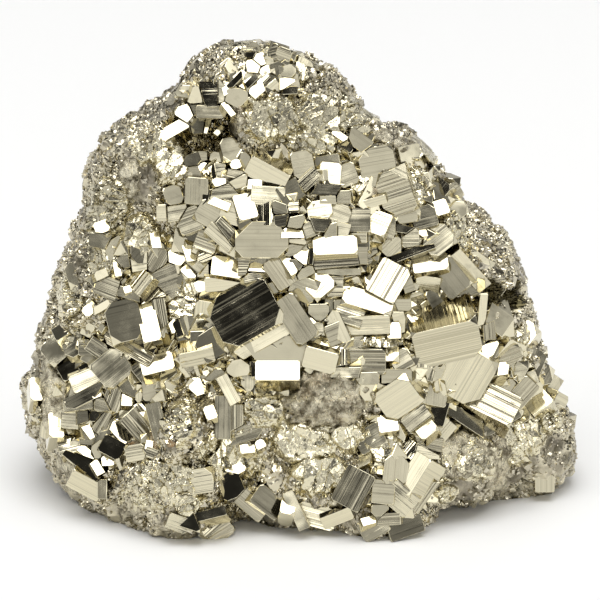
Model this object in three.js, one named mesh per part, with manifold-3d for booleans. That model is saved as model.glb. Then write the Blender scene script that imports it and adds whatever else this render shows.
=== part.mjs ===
// A hand-sized cluster of brassy sulphide crystals: one heap of granular ore, grown together with the
// striated blocks that crowd its leaning front. It rests on the flat break where it left the rock.
// Millimetres, +Z up, +X to the right, the crystallised face towards -Y, the origin on the flat base.

import * as THREE from "three";
import { ConvexGeometry } from "three/addons/geometries/ConvexGeometry.js";
import { mergeVertices } from "three/addons/utils/BufferGeometryUtils.js";
import Module from "manifold-3d";

const wasm = await Module();
wasm.setup();

// The crowded front leans back by LEAN_DEG. Crystals are placed across and up that leaning face, with
// "out" square to it.
const LEAN_DEG = 20;
const lean = THREE.MathUtils.degToRad(LEAN_DEG);
const across = new THREE.Vector3(1, 0, 0);
const upFace = new THREE.Vector3(0, Math.sin(lean), Math.cos(lean));
const outFace = new THREE.Vector3(0, -Math.cos(lean), Math.sin(lean));
const faceFrame = new THREE.Matrix4().makeBasis(across, upFace, outFace);

// The heap of ore: rounded lobes that melt into each other.
// Each is [x, y, z of the centre, half width, half depth, half height].
const LOBE_BLEND = 1.8; // how far neighbouring lobes melt together
const LOBES = [
  [0, 2, 20, 36, 24, 26], // the body
  [-5, 4, 42, 26, 18, 22],
  [0, 13, 22, 34, 16, 24], // the back
  [-8.6, 5, 66, 11, 10, 11], // the summit
  [-1.5, 5, 63.5, 11.5, 10, 9.6],
  [-18.5, 4, 61.5, 8, 10, 8], // left shoulder
  [-25.2, 4, 55.6, 9.6, 11, 8.5],
  [-28, 4, 45, 8.4, 12, 12],
  [-31, 3, 34, 10.6, 15, 13],
  [-35, 3, 22, 10, 15, 12],
  [-38.6, 3, 14, 8.2, 14, 9.2], // left foot
  [-34, 0, 5, 9, 12, 8],
  [12, 5, 53.5, 8.8, 11, 9.5], // right shoulder
  [18, 5, 53, 5.2, 8, 5.5],
  [20, 4, 44.5, 8.2, 12, 9.6],
  [28.2, 4, 33, 10.2, 15, 13],
  [33, 4, 19, 9, 15, 12.4], // right foot
  [38, 0, 6.6, 9.4, 9.5, 10.4],
  [29.5, 1, 4, 9, 11.6, 9.5],
  [-20, -15.5, 6, 10.5, 11.5, 11], // front feet
  [-29, -9, 6, 9, 10.5, 10],
  [1, -13.5, 7, 13, 10, 12],
  [14, -15.6, 5, 9.8, 10, 11],
  [27.2, -12, 7.5, 6, 7, 6.5], // the round boss low on the right
  [-18.3, -22.5, 18.5, 4.6, 5, 4.6], // the round sparkling boss on the left
];
// Open pits between the crystals: [x, y, z of the centre, radius].
const PITS = [
  [-16, -6.5, 63.4, 5.4], // the deep hollow under the summit
  [31.3, -10.4, 37.6, 2.8],
  [36.3, -5.4, 34.7, 2.4],
  [-38.8, -12.4, 25.5, 2.6],
];
const PIT_BLEND = 0.9;
const HEAP_STEPS = 9; // facets along each edge of the heap's starting icosahedron, less one
const HEAP_HEART = new THREE.Vector3(-1, 2, 28); // the heap is measured outwards from here
const HEAP_REACH = 70; // beyond every part of the heap
const MARCH = 0.5; // steps in which a line looks for the heap
const HALVINGS = 24; // halvings that close in on the heap's surface
const CRAG = 0.5; // broken roughness of the heap
const SLAB = 160; // block that cuts the base flat

// The striated crystals. Each is [across, up the face, width, height, depth, spin, tilt, turn, rise, cut].
// The first two place the middle of its front. Spin turns it in the face, tilt leans it to look up, turn
// swings it to look right, all in degrees. Rise is how far it stands out of the heap, and cut is how much
// of each corner is missing.
const CRYSTALS = [
  // the big dark block in the middle and its neighbours
  [-9.2, 29, 11, 9.2, 9, 29, 15, -4, 2.4, 0.3],
  [-12, 36.5, 5.4, 3.8, 4.5, -6, 30, 5, 1.4, 0.12],
  [-12.7, 33.7, 6.2, 2.6, 4.5, 5, -22, 0, 1.8, 0.1],
  [-6.3, 41, 8.8, 6, 5.5, 0, 4, 3, 1.6, 0.42],
  [-3.3, 35.6, 5.4, 3.8, 4.5, -55, 14, -2, 1.2, 0.1],
  [-0.8, 27.8, 8.4, 4.2, 5.5, -56, -5, -2, 2, 0.2],
  [0.5, 32.8, 4.6, 4.2, 4.5, -20, -14, -10, 0.8, 0.2],
  [3, 33.8, 4.6, 4.6, 4.5, 45, 18, 14, 1.1, 0.35],
  [-3.7, 19.4, 7.4, 3.6, 7, 0, 25, 0, 2.8, 0.1],
  [3.3, 21, 5.6, 3.8, 5.5, -15, -20, 0, 1.8, 0.15],
  [-17, 21.4, 5.8, 2.8, 5.6, 12, -28, 0, 2.4, 0.1],
  [5.8, 40.1, 7.4, 3.4, 6.2, 3, 26, 2, 2, 0.16],
  [14.7, 34.3, 6.8, 5.4, 5.6, 62, 6, 21, 2.4, 0.12],
  // the largest block and the plates around it
  [24.5, 23.6, 11.2, 7.4, 8.6, 13, -34, 0, 3.6, 0.18],
  [25, 34.7, 6.2, 4.8, 5, -50, -18, -6, 1.6, 0.1],
  [21.7, 37.2, 6, 3.2, 4, 8, 28, 0, 1.5, 0.2],
  [21.3, 33.7, 4.2, 2.8, 4, -10, -28, 0, 0.8, 0.1],
  [11.3, 31, 8.6, 3.8, 4.5, -15, 38, 2, 2, 0.3],
  [8.2, 28.6, 4.8, 3.4, 4, -18, 20, 0, 1.4, 0.1],
  [11.2, 26.8, 7.4, 3.2, 4.4, 2, -14, 0, 1.4, 0.1],
  [10.8, 20.8, 6.8, 4.2, 5, 0, -6, -6, 0.6, 0.15],
  [6, 25.4, 3.4, 3.6, 3.6, 20, -10, 10, 1, 0.1],
  [16.8, 21, 3.4, 3.4, 3.4, 30, 5, 0, 0.6, 0.15],
  [27.5, 18.4, 8.8, 8.4, 7, 61, -4, -12, 2, 0.38],
  [31.3, 14.6, 11.2, 5.8, 5.5, -28, 25, -4, 1.8, 0.12],
  [37.5, 15.4, 5.2, 3.4, 4.8, 48, -8, 0, 1.6, 0.1],
  [40.2, 13.8, 4.4, 3.4, 4.2, 42, 26, 8, 2, 0.1],
  // below the largest block
  [16.2, 14.6, 6.8, 5.8, 5.4, 36, -9, -14, 2, 0.28],
  [19.3, 11.4, 4.8, 2.8, 3.8, 38, 4, 0, 1.2, 0.1],
  [20.8, 9.8, 3.4, 3.4, 3.4, 40, 26, 5, 2.2, 0.25],
  [23.7, 9, 4.6, 3.2, 4.2, 50, -15, 0, 1.4, 0.1],
  [14.6, 10.6, 3.4, 3.2, 3.4, 10, 24, 4, 1.2, 0.1],
  // the upper half
  [15.8, 48.8, 5.6, 7.8, 5.4, 20, -10, -12, 1.6, 0.38],
  [9.3, 44.3, 4.8, 4.2, 4.2, 0, 15, 0, 1, 0.12],
  [12.6, 44, 4.6, 4.2, 4.2, -25, 20, -14, 1.2, 0.12],
  [3.3, 45.7, 4.2, 3.6, 3.8, 10, -10, 0, 0.8, 0.32],
  [6.4, 45.2, 3.8, 3.8, 3.8, -20, 10, 0, 0.8, 0.32],
  [22.8, 41.3, 5.2, 5.2, 4.8, 40, 14, 10, 1.2, 0.38],
  [15.5, 39.8, 3.8, 3.4, 3.6, 45, -15, 0, 0.8, 0.38],
  [20.7, 44.8, 4.2, 3.8, 3.8, 15, 0, -2, 0.6, 0.2],
  [-5.5, 51.7, 7.2, 3.8, 5.4, -28, -28, 0, 2, 0.12],
  [0.5, 53.5, 3.8, 4.6, 3.8, 12, 5, 14, 1, 0.2],
  [5, 51.7, 3.6, 4.2, 3.8, -5, -8, 0, 1.2, 0.12],
  [7.8, 51.8, 3.4, 3.8, 3.6, 20, 4, 0, 0.8, 0.2],
  [-5.3, 48.2, 5.6, 3.2, 4.2, -4, -12, 0, 1, 0.12],
  [-1.6, 48.8, 4.2, 3.6, 3.8, 30, -6, 14, 1, 0.15],
  [-9, 46.5, 3.4, 4.6, 3.8, 18, 18, 14, 1.2, 0.12],
  [-11.4, 45.4, 3.8, 3.8, 3.6, -15, -5, -10, 0.8, 0.2],
  [-14.8, 45.2, 4.8, 4.2, 4.2, -30, 5, 0, 1.2, 0.22],
  [-15.5, 40.7, 3.8, 3.4, 3.4, -20, 10, 0, 0.6, 0.15],
  [-17.2, 49, 4.6, 4, 4.2, 85, 14, -12, 1.4, 0.12],
  [-11.4, 56, 3.4, 4.2, 3.8, 15, 8, 16, 1.2, 0.35],
  [-15, 62.2, 4.6, 2.2, 4.6, -1, -6, -4, 1.8, 0.2],
  [-7.6, 67.2, 3.6, 3, 3.6, -20, 12, 0, 0.6, 0.2],
  [-1.8, 67, 3.4, 3.4, 3.6, 10, -4, 4, 0.6, 0.15],
  // the left side
  [-26.8, 34.2, 4, 4.2, 4.4, 52, 37, 0, 1.4, 0.1],
  [-29.2, 27.6, 5.8, 7, 6.6, 14, 10, 1, 2.2, 0.26],
  [-25.2, 27.4, 3.2, 7.4, 5, 14, 26, 4, 2.6, 0.16],
  [-23.8, 20.5, 5.6, 3.4, 4.2, 14, 28, 0, 1.8, 0.12],
  [-31.4, 19.6, 5.8, 5.6, 4.4, 40, -10, 0, 1.6, 0.28],
  [-36, 17.6, 5, 3.2, 4.2, 22, -10, 0, 1.4, 0.1],
  [-35.6, 23, 3, 2.8, 3.6, 0, -6, -5, 0.8, 0.15],
  [-26.3, 9.8, 6.8, 4.4, 4.8, -48, 14, 5, 1.8, 0.12],
  [-31.4, 6.4, 4.2, 3.2, 3.8, -30, 8, -12, 1.6, 0.12],
  [-38, 11, 4.2, 3.4, 3.8, -5, 5, 0, 0.8, 0.15],
  [-38.4, 6.6, 4.6, 2.8, 3.6, 15, 22, 0, 1.4, 0.12],
  [-36, -0.2, 6, 3.8, 6, -28, -34, 0, 1.4, 0.1],
  [-12.7, 11.6, 7.2, 2.8, 4.2, 88, -10, 4, 1.4, 0.1],
  [-11.8, 16.2, 5.2, 2.2, 3.8, -62, 24, 0, 1.8, 0.1],
  // along the bottom
  [-14.3, -7.2, 5.4, 5.2, 5, 41, -6, 0, 0.5, 0.2],
  [-5.3, -2.6, 5.6, 3.8, 4.8, -35, 13, 14, 0.8, 0.12],
  [2.6, -5, 7, 3.8, 5, -15, -10, 0, 0.5, 0.25],
  [8.8, -0.2, 6.6, 5.2, 5, 62, 8, 0, 1.2, 0.1],
  [18.7, 2.2, 7.2, 3.6, 5.2, 58, 36, 0, 1.8, 0.1],
  [16.6, -2, 5.2, 4.4, 5, -40, -12, 0, 1.4, 0.1],
  [13.8, -0.8, 3.8, 4, 4.4, -5, 8, 0, 1.2, 0.12],
  [12.2, -6.8, 4.8, 3.6, 4.6, 30, -1, -7, 0.5, 0.15],
  [17.6, -6.8, 6.2, 3.2, 4.8, 18, -2, 14, 0.5, 0.15],
  [41.6, -0.2, 3, 3.4, 4.4, 90, -5, 0, 0.5, 0.1],
];

const ORE = new THREE.MeshStandardMaterial({ color: 0xcdc3a0, metalness: 1, roughness: 0.28 });

// How far a point is outside the heap in mm, negative inside it.
function outsideHeap(p) {
  let sum = 0;
  for (const [x, y, z, a, b, c] of LOBES) {
    const scaled = Math.hypot((p.x - x) / a, (p.y - y) / b, (p.z - z) / c);
    sum += Math.exp(((1 - scaled) * Math.min(a, b, c)) / LOBE_BLEND);
  }
  let away = -LOBE_BLEND * Math.log(sum);
  for (const [x, y, z, r] of PITS) {
    const inPit = r - Math.hypot(p.x - x, p.y - y, p.z - z);
    away = PIT_BLEND * Math.log(Math.exp(away / PIT_BLEND) + Math.exp(inPit / PIT_BLEND));
  }
  return away;
}

// Where a line from inside or outside the heap crosses its surface, between two distances along it.
function crossing(start, direction, inside, outside) {
  const p = new THREE.Vector3();
  let a = inside;
  let b = outside;
  for (let i = 0; i < HALVINGS; i++) {
    const middle = (a + b) / 2;
    p.copy(start).addScaledVector(direction, middle);
    if (outsideHeap(p) < 0) a = middle;
    else b = middle;
  }
  return (a + b) / 2;
}

// Uneven but repeatable roughness for each direction from the heart of the heap.
function crag(d) {
  return (
    Math.sin(17 * d.x + 5 * d.z) * Math.cos(13 * d.y - 7 * d.x) +
    0.7 * Math.sin(29 * d.z + 11 * d.y) * Math.sin(23 * d.x - 3)
  );
}

// A repeatable value between 0 and 1 for each whole number.
function uneven(i) {
  const s = Math.sin(i * 12.9898) * 43758.5453;
  return s - Math.floor(s);
}

function solidOf(geometry) {
  const bare = geometry.clone();
  bare.deleteAttribute("normal");
  bare.deleteAttribute("uv");
  const merged = mergeVertices(bare, 1e-4);
  return new wasm.Manifold(
    new wasm.Mesh({
      numProp: 3,
      vertProperties: merged.attributes.position.array,
      triVerts: new Uint32Array(merged.index.array),
    }),
  );
}

function heap() {
  const geometry = new THREE.IcosahedronGeometry(1, HEAP_STEPS);
  const place = geometry.attributes.position;
  const d = new THREE.Vector3();
  for (let i = 0; i < place.count; i++) {
    d.fromBufferAttribute(place, i).normalize();
    const r = crossing(HEAP_HEART, d, 0, HEAP_REACH) + CRAG * crag(d);
    place.setXYZ(i, HEAP_HEART.x + d.x * r, HEAP_HEART.y + d.y * r, HEAP_HEART.z + d.z * r);
  }
  return solidOf(geometry);
}

// The point of the heap seen at a place on the leaning face.
function onFace(x, v) {
  const start = new THREE.Vector3().addScaledVector(across, x).addScaledVector(upFace, v);
  const p = new THREE.Vector3();
  let out = HEAP_REACH;
  while (out > -HEAP_REACH && outsideHeap(p.copy(start).addScaledVector(outFace, out)) > 0) out -= MARCH;
  return start.addScaledVector(outFace, crossing(start, outFace, out, out + MARCH));
}

// A block with its corners cut by different amounts, as a crystal crowded by its neighbours grows.
function crystal([x, v, width, height, depth, spin, tilt, turn, rise, cut], index) {
  const half = [width / 2, height / 2, depth / 2];
  const corners = [];
  for (let k = 0; k < 8; k++) {
    const sign = [k & 1 ? 1 : -1, k & 2 ? 1 : -1, k & 4 ? 1 : -1];
    const gone = cut * Math.min(...half) * (0.9 + 1.6 * uneven(index * 8 + k));
    for (let axis = 0; axis < 3; axis++) {
      const at = half.map((h, i) => sign[i] * (i === axis ? h - gone : h));
      corners.push(new THREE.Vector3(...at));
    }
  }
  const geometry = new ConvexGeometry(corners);
  const turned = new THREE.Euler(
    THREE.MathUtils.degToRad(-tilt),
    THREE.MathUtils.degToRad(turn),
    THREE.MathUtils.degToRad(spin),
    "ZXY",
  );
  geometry.translate(0, 0, -half[2]);
  geometry.applyMatrix4(new THREE.Matrix4().makeRotationFromEuler(turned));
  geometry.translate(0, 0, rise);
  geometry.applyMatrix4(faceFrame);
  const seat = onFace(x, v);
  geometry.translate(seat.x, seat.y, seat.z);
  return solidOf(geometry);
}

// Everything below the base is cut away, and the outer skin is kept as one solid.
function cutFlat(solid) {
  const slab = solidOf(new THREE.BoxGeometry(SLAB, SLAB, SLAB).translate(0, 0, -SLAB / 2));
  const bodies = solid.subtract(slab).decompose();
  return bodies.reduce((a, b) => (a.volume() > b.volume() ? a : b));
}

function meshOf(name, solid, material) {
  const { vertProperties, triVerts } = solid.getMesh();
  const geometry = new THREE.BufferGeometry();
  geometry.setAttribute("position", new THREE.BufferAttribute(new Float32Array(vertProperties), 3));
  geometry.setIndex(new THREE.BufferAttribute(new Uint32Array(triVerts), 1));
  geometry.computeVertexNormals();
  const mesh = new THREE.Mesh(geometry, material);
  mesh.name = name;
  return mesh;
}

const grown = CRYSTALS.map(crystal).reduce((whole, one) => whole.add(one), heap());

const cluster = new THREE.Group();
cluster.name = "pyrite crystal cluster";
cluster.add(meshOf("pyrite_cluster", cutFlat(grown), ORE));

export default cluster;
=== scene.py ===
import math

import bmesh
import bpy
import numpy as np
from mathutils import Euler, Matrix, Vector, kdtree, noise


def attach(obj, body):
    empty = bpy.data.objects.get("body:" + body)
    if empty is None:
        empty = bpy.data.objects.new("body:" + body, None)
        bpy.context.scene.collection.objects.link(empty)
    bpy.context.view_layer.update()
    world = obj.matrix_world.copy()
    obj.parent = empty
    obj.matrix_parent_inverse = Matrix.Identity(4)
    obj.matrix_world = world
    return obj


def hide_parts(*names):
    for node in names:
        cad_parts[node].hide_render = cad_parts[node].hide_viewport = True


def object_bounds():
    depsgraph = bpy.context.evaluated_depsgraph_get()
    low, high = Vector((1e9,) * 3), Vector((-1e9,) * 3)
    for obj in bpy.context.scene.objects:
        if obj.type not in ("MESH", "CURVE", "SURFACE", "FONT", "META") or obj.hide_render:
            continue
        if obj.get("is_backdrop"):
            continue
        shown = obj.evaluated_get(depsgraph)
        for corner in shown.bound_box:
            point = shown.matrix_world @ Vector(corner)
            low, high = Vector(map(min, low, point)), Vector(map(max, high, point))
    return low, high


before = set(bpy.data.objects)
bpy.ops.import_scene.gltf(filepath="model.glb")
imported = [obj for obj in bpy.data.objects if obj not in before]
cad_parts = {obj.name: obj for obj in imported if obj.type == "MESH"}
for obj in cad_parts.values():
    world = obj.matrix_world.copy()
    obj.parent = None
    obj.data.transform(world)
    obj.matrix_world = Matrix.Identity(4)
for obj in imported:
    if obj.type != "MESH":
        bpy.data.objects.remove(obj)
cad_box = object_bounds()

# ---------------------------------------------------------------- the heap of ore
# The body of the cluster is one mass of fine-grained iron sulphide. It grew as rounded lobes that melt
# into each other, and broke off flat below. Everything else sits in its rough, sparkling skin.

MM = 0.001
LEAN = math.radians(20)  # the crowded front leans back by this much
ACROSS = np.array([1, 0, 0])
UP_FACE = np.array([0, math.sin(LEAN), math.cos(LEAN)])
OUT_FACE = np.array([0, -math.cos(LEAN), math.sin(LEAN)])
LOBE_BLEND = 1.8  # mm over which the lobes melt into each other
LOBES = [  # x, y, z of the centre, half width, half depth, half height, in mm
    (0, 2, 20, 36, 24, 26),  # the body
    (-5, 4, 42, 26, 18, 22),
    (0, 13, 22, 34, 16, 24),  # the back
    (-8.6, 5, 66, 11, 10, 11),  # the summit
    (-1.5, 5, 63.5, 11.5, 10, 9.6),
    (-18.5, 4, 61.5, 8, 10, 8),  # left shoulder
    (-25.2, 4, 55.6, 9.6, 11, 8.5),
    (-28, 4, 45, 8.4, 12, 12),
    (-31, 3, 34, 10.6, 15, 13),
    (-35, 3, 22, 10, 15, 12),
    (-38.6, 3, 14, 8.2, 14, 9.2),  # left foot
    (-34, 0, 5, 9, 12, 8),
    (12, 5, 53.5, 8.8, 11, 9.5),  # right shoulder
    (18, 5, 53, 5.2, 8, 5.5),
    (20, 4, 44.5, 8.2, 12, 9.6),
    (28.2, 4, 33, 10.2, 15, 13),
    (33, 4, 19, 9, 15, 12.4),  # right foot
    (38, 0, 6.6, 9.4, 9.5, 10.4),
    (29.5, 1, 4, 9, 11.6, 9.5),
    (-20, -15.5, 6, 10.5, 11.5, 11),  # front feet
    (-29, -9, 6, 9, 10.5, 10),
    (1, -13.5, 7, 13, 10, 12),
    (14, -15.6, 5, 9.8, 10, 11),
    (27.2, -12, 7.5, 6, 7, 6.5),  # the round boss low on the right
    (-18.3, -22.5, 18.5, 4.6, 5, 4.6),  # the round sparkling boss on the left
]
PITS = [  # x, y, z of the centre, radius, in mm
    (-16, -6.5, 63.4, 5.4),  # the deep hollow under the summit
    (31.3, -10.4, 37.6, 2.8),
    (36.3, -5.4, 34.7, 2.4),
    (-38.8, -12.4, 25.5, 2.6),
]
PIT_BLEND = 0.9  # mm over which the rim of a pit is rounded
HALVINGS = 22  # of a line, to find where it leaves the heap
TARNISHED = [  # x, y, z, radius in mm and strength of the dark brown tarnish
    (-15.6, -5.5, 64.4, 6.6, 1),  # the hollow under the summit
    (23.5, -13.4, 36, 4.8, 1.4),  # on top of the largest block
    (31.5, -7.9, 36.9, 3.6, 1.4),  # the pits at the sides
    (36.4, -2.8, 35.1, 3.4, 1.4),
    (-38.8, -9.8, 24.5, 3.2, 1.3),
    (-1, -2, 65, 16, 0.22),  # a thin film over the upper part
    (-31, -7, 50, 15, 0.22),
    (22, 0, 47, 10, 0.16),
]
TARNISH_FALL = 1.6  # the film is even in the middle and fades from this much over its full strength
DEEPENED, MOST_DEEPENED = 4, 0.4  # mm deeper for each whole step of tarnish over 1, up to this step
HEAP_HEART = np.array([-1, 2, 28])
HEAP_REACH = 70
HEAP_FINENESS = 8  # subdivisions of the ball that the skin is drawn on
CRAG = 0.5  # mm, about, that broad swells rise and fall
SKIN_AREA = 15000  # about, in square mm
FRONT_EDGE = 0.12  # the front half of the skin is what faces the front more than this
LUMP_SPACING, LUMP_CREASE = 6.5, 1.0  # rounded lumps with creases between them
CREASE_WIDTH = 0.16  # as a share of the spacing
LUMP_FADE = 12  # mm over which the creases come and go
FACET_SIZES = [  # width, slant, step, most height, in mm
    (5.2, 0.18, 0.1, 0.6),
    (2.4, 0.3, 0.12, 0.5),
    (1.1, 0.42, 0.06, 0.3),
]
GRIT_SIZE, GRIT_DEPTH = 0.7, 0.12
CALM_SIZE = 9  # width of the smooth dull patches
CALM_FROM, CALM_OVER, MOST_CALM = 0.1, 0.16, 0.8  # where they begin, fade in, and how smooth they get
CALM_FLATTENS, MIRROR_FLATTENS = 0.6, 0.9  # how much flatter the facets are there, and on a mirror
FRONT_FROM, FRONT_OVER = 0.4, 0.35  # how squarely the skin faces the front where the crowding starts
SKIN_SUNK = 0.5  # the skin lies this much below the plain heap
RIM_RISE = 1.0  # the bare ore stands this much above the crowded hollow
CROWD_SUNK = 0.8  # and between the crowded crystals it lies this much deeper
CROWDED = [  # across, up the face, half width and half height of the crowded parts of the front, in mm
    (2.3, 47.8, 23, 8.5),
    (-1.8, 33.8, 33, 11),
    (-0.7, 22.7, 38.5, 7.5),
    (-30.9, 12.7, 10, 9),
    (26.4, 15.7, 16, 6.5),
    (16.3, 4.6, 6.5, 10),
    (-6.8, 68.5, 7, 3.6),
    (-15.5, 64.8, 3.6, 2.6),
]
SMOOTH_PATCHES = [  # across, up the face, half width and half height of smooth dull patches, in mm
    (4.5, 14, 6.5, 4.5),
    (27.5, 3.5, 7, 8),
    (35.5, 5, 3.5, 6),
    (-41, 14, 4.5, 7),
    (-39.5, 0.5, 3, 6),
    (-24, 7.4, 6, 1.8),
    (-27, 51, 3, 5),
    (14, 59, 3.5, 3),
    (20.2, 57.8, 3, 2.6),
    (-11, 62.5, 2.5, 4),
]
MIRROR_SHARE = 0.24  # share of the middle-sized facets that are smooth as a mirror
ORE_COLOUR = (0.66, 0.605, 0.45, 1)
ORE_SHADE = (0.28, 0.25, 0.19, 1)

rng = np.random.default_rng(41)


def outside_heap(points):
    """How far points are outside the heap in mm, negative inside it."""
    total = np.zeros(len(points))
    for x, y, z, a, b, c in LOBES:
        scaled = np.linalg.norm((points - (x, y, z)) / (a, b, c), axis=1)
        total += np.exp((1 - scaled) * min(a, b, c) / LOBE_BLEND)
    away = -LOBE_BLEND * np.log(total)
    for x, y, z, radius in PITS:
        in_pit = radius - np.linalg.norm(points - (x, y, z), axis=1)
        away = PIT_BLEND * np.logaddexp(away / PIT_BLEND, in_pit / PIT_BLEND)
    return away


def crossing(starts, directions, inside, outside):
    """Distances along lines at which they leave the heap, between a distance inside and one outside."""
    near, far = inside.copy(), outside.copy()
    for _ in range(HALVINGS):
        middle = (near + far) / 2
        within = outside_heap(starts + directions * middle[:, None]) < 0
        near = np.where(within, middle, near)
        far = np.where(within, far, middle)
    return near


def uneven(i):
    """A repeatable value between 0 and 1 for each whole number."""
    s = math.sin(i * 12.9898) * 43758.5453
    return s - math.floor(s)


def make_piece(name, points, corners, counts, material, **corner_values):
    """A mesh piece from points in mm, the corners of its faces in a row, and how many each face has."""
    mesh = bpy.data.meshes.new(name)
    mesh.vertices.add(len(points))
    mesh.vertices.foreach_set("co", (np.asarray(points) * MM).astype(np.float32).ravel())
    mesh.loops.add(len(corners))
    mesh.loops.foreach_set("vertex_index", np.asarray(corners, dtype=np.int32))
    mesh.polygons.add(len(counts))
    firsts = np.concatenate(([0], np.cumsum(counts)[:-1])).astype(np.int32)
    mesh.polygons.foreach_set("loop_start", firsts)
    mesh.update(calc_edges=True)
    for key, values in corner_values.items():
        values = np.asarray(values, dtype=np.float32)
        if values.ndim == 2:
            mesh.attributes.new(key, "FLOAT_VECTOR", "CORNER").data.foreach_set("vector", values.ravel())
        else:
            mesh.attributes.new(key, "FLOAT", "CORNER").data.foreach_set("value", values)
    mesh.validate()
    mesh.shade_flat()
    mesh.materials.append(material)
    piece = bpy.data.objects.new(name, mesh)
    bpy.context.scene.collection.objects.link(piece)
    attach(piece, "root")
    return piece


def put(tree, kind, values=(), **settings):
    """A shader node with its settings, and its inputs set to values or joined to other nodes' outputs."""
    made = tree.nodes.new(kind)
    for key, value in settings.items():
        setattr(made, key, value)
    for key, value in dict(values).items():
        if isinstance(value, bpy.types.NodeSocket):
            tree.links.new(value, made.inputs[key])
        else:
            made.inputs[key].default_value = value
    return made


def sums(tree, operation, *values):
    """The result of one sum on numbers or on other nodes' outputs."""
    return put(tree, "ShaderNodeMath", dict(enumerate(values)), operation=operation).outputs[0]


def vector_sum(tree, operation, first, second=None):
    """The result of one sum on vectors, or on a vector and the number that scales it."""
    inputs = {0: first}
    if second is not None:
        inputs["Scale" if operation == "SCALE" else 1] = second
    return put(tree, "ShaderNodeVectorMath", inputs, operation=operation).outputs[0]


def spread(tree, value, low, high, to_low, to_high):
    """A value taken from one range to another, and held inside it."""
    inputs = {"Value": value, "From Min": low, "From Max": high, "To Min": to_low, "To Max": to_high}
    return put(tree, "ShaderNodeMapRange", inputs).outputs[0]


def clouds_at(tree, place, scale, detail, roughness=0.5, output="Fac"):
    """Cloudy noise, as a value or as a colour."""
    inputs = {"Vector": place, "Scale": scale, "Detail": detail, "Roughness": roughness}
    return put(tree, "ShaderNodeTexNoise", inputs).outputs[output]


def mixed(tree, share, first, second):
    """A colour that goes from one to another as the share goes from 0 to 1."""
    inputs = {"Factor": share, "A": first, "B": second}
    return put(tree, "ShaderNodeMix", inputs, data_type="RGBA").outputs["Result"]


def ramp(tree, value, *stops):
    """A colour that goes between two stops, each a value and its colour."""
    made = put(tree, "ShaderNodeValToRGB", {"Fac": value})
    for element, (position, colour) in zip(made.color_ramp.elements, stops):
        element.position = position
        element.color = colour
    return made.outputs[0]


def from_mesh(tree, name, output="Fac"):
    """A value or a vector that the mesh carries."""
    return put(tree, "ShaderNodeAttribute", attribute_name=name).outputs[output]


def place_on(tree):
    """The place on the piece, in metres."""
    return put(tree, "ShaderNodeTexCoord").outputs["Object"]


def new_material(name):
    """A metal, its nodes and its shader."""
    made = bpy.data.materials.new(name)
    made.use_nodes = True
    shader = made.node_tree.nodes["Principled BSDF"]
    shader.inputs["Metallic"].default_value = 1
    return made, made.node_tree, shader


def finish(tree, shader, colour, normal, rough):
    """Joins a surface's colour, facing and roughness to its shader."""
    for key, value in (("Base Color", colour), ("Normal", normal), ("Roughness", rough)):
        tree.links.new(value, shader.inputs[key])


def new_group(name, inputs, outputs):
    """A shader node group with named inputs, each a number or a colour, and named outputs."""
    tree = bpy.data.node_groups.new(name, "ShaderNodeTree")
    for key, value in inputs.items():
        kind = "NodeSocketColor" if isinstance(value, tuple) else "NodeSocketFloat"
        tree.interface.new_socket(key, in_out="INPUT", socket_type=kind).default_value = value
    for key, kind in outputs.items():
        tree.interface.new_socket(key, in_out="OUTPUT", socket_type=kind)
    return tree, tree.nodes.new("NodeGroupInput").outputs, tree.nodes.new("NodeGroupOutput").inputs


def group_in(tree, group, **values):
    """A group placed among a material's nodes, with its own values."""
    made = tree.nodes.new("ShaderNodeGroup")
    made.node_tree = group
    for key, value in values.items():
        if isinstance(value, bpy.types.NodeSocket):
            tree.links.new(value, made.inputs[key])
        else:
            made.inputs[key].default_value = value
    return made


def inside_ovals(xs, vs, ovals):
    """How far inside any of some ovals places on the leaning face are: over 0 inside them."""
    return np.max([1 - ((xs - x) / a) ** 2 - ((vs - v) / b) ** 2 for x, v, a, b in ovals], axis=0)


def standing(xs, vs):
    """How far the bare ore stands above the plain heap at places on the leaning face, in mm."""
    return RIM_RISE * np.clip(-3 * inside_ovals(xs, vs, CROWDED), 0, 1)


def tarnish_at(points):
    """How tarnished the metal is at points in mm, from 0 to 1."""
    total = np.zeros(len(points))
    for x, y, z, radius, strength in TARNISHED:
        away = np.linalg.norm(points - (x, y, z), axis=1) / radius
        total = np.maximum(total, strength * np.clip(TARNISH_FALL - TARNISH_FALL * away, 0, 1))
    return total


def skin_ways_out(points):
    """Unit ways straight out of the heap at points on it."""
    step = 0.05
    slopes = [outside_heap(points + step * e) - outside_heap(points - step * e) for e in np.eye(3)]
    ways = np.stack(slopes, axis=1)
    return ways / np.linalg.norm(ways, axis=1)[:, None]


def nearest_seeds(points, seeds, count):
    """For each point the nearest few seeds and how far they are."""
    tree = kdtree.KDTree(len(seeds))
    for i, seed in enumerate(seeds):
        tree.insert(seed, i)
    tree.balance()
    found = np.array([[hit[1:] for hit in tree.find_n(p, count)] for p in points])
    return found[..., 0].astype(int), found[..., 1]


def lumps(points):
    """The creases between rounded lumps, as a height in mm."""
    seeds = points[rng.choice(len(points), int(SKIN_AREA / LUMP_SPACING ** 2))]
    _, away = nearest_seeds(points, seeds, 2)
    inside = (away[:, 1] - away[:, 0]) / LUMP_SPACING
    fade = np.array([noise.noise(Vector(p) / LUMP_FADE) for p in points])
    return -LUMP_CREASE * np.clip(0.55 + 1.6 * fade, 0.1, 1) * np.exp(-(inside / CREASE_WIDTH) ** 1.3)


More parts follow.
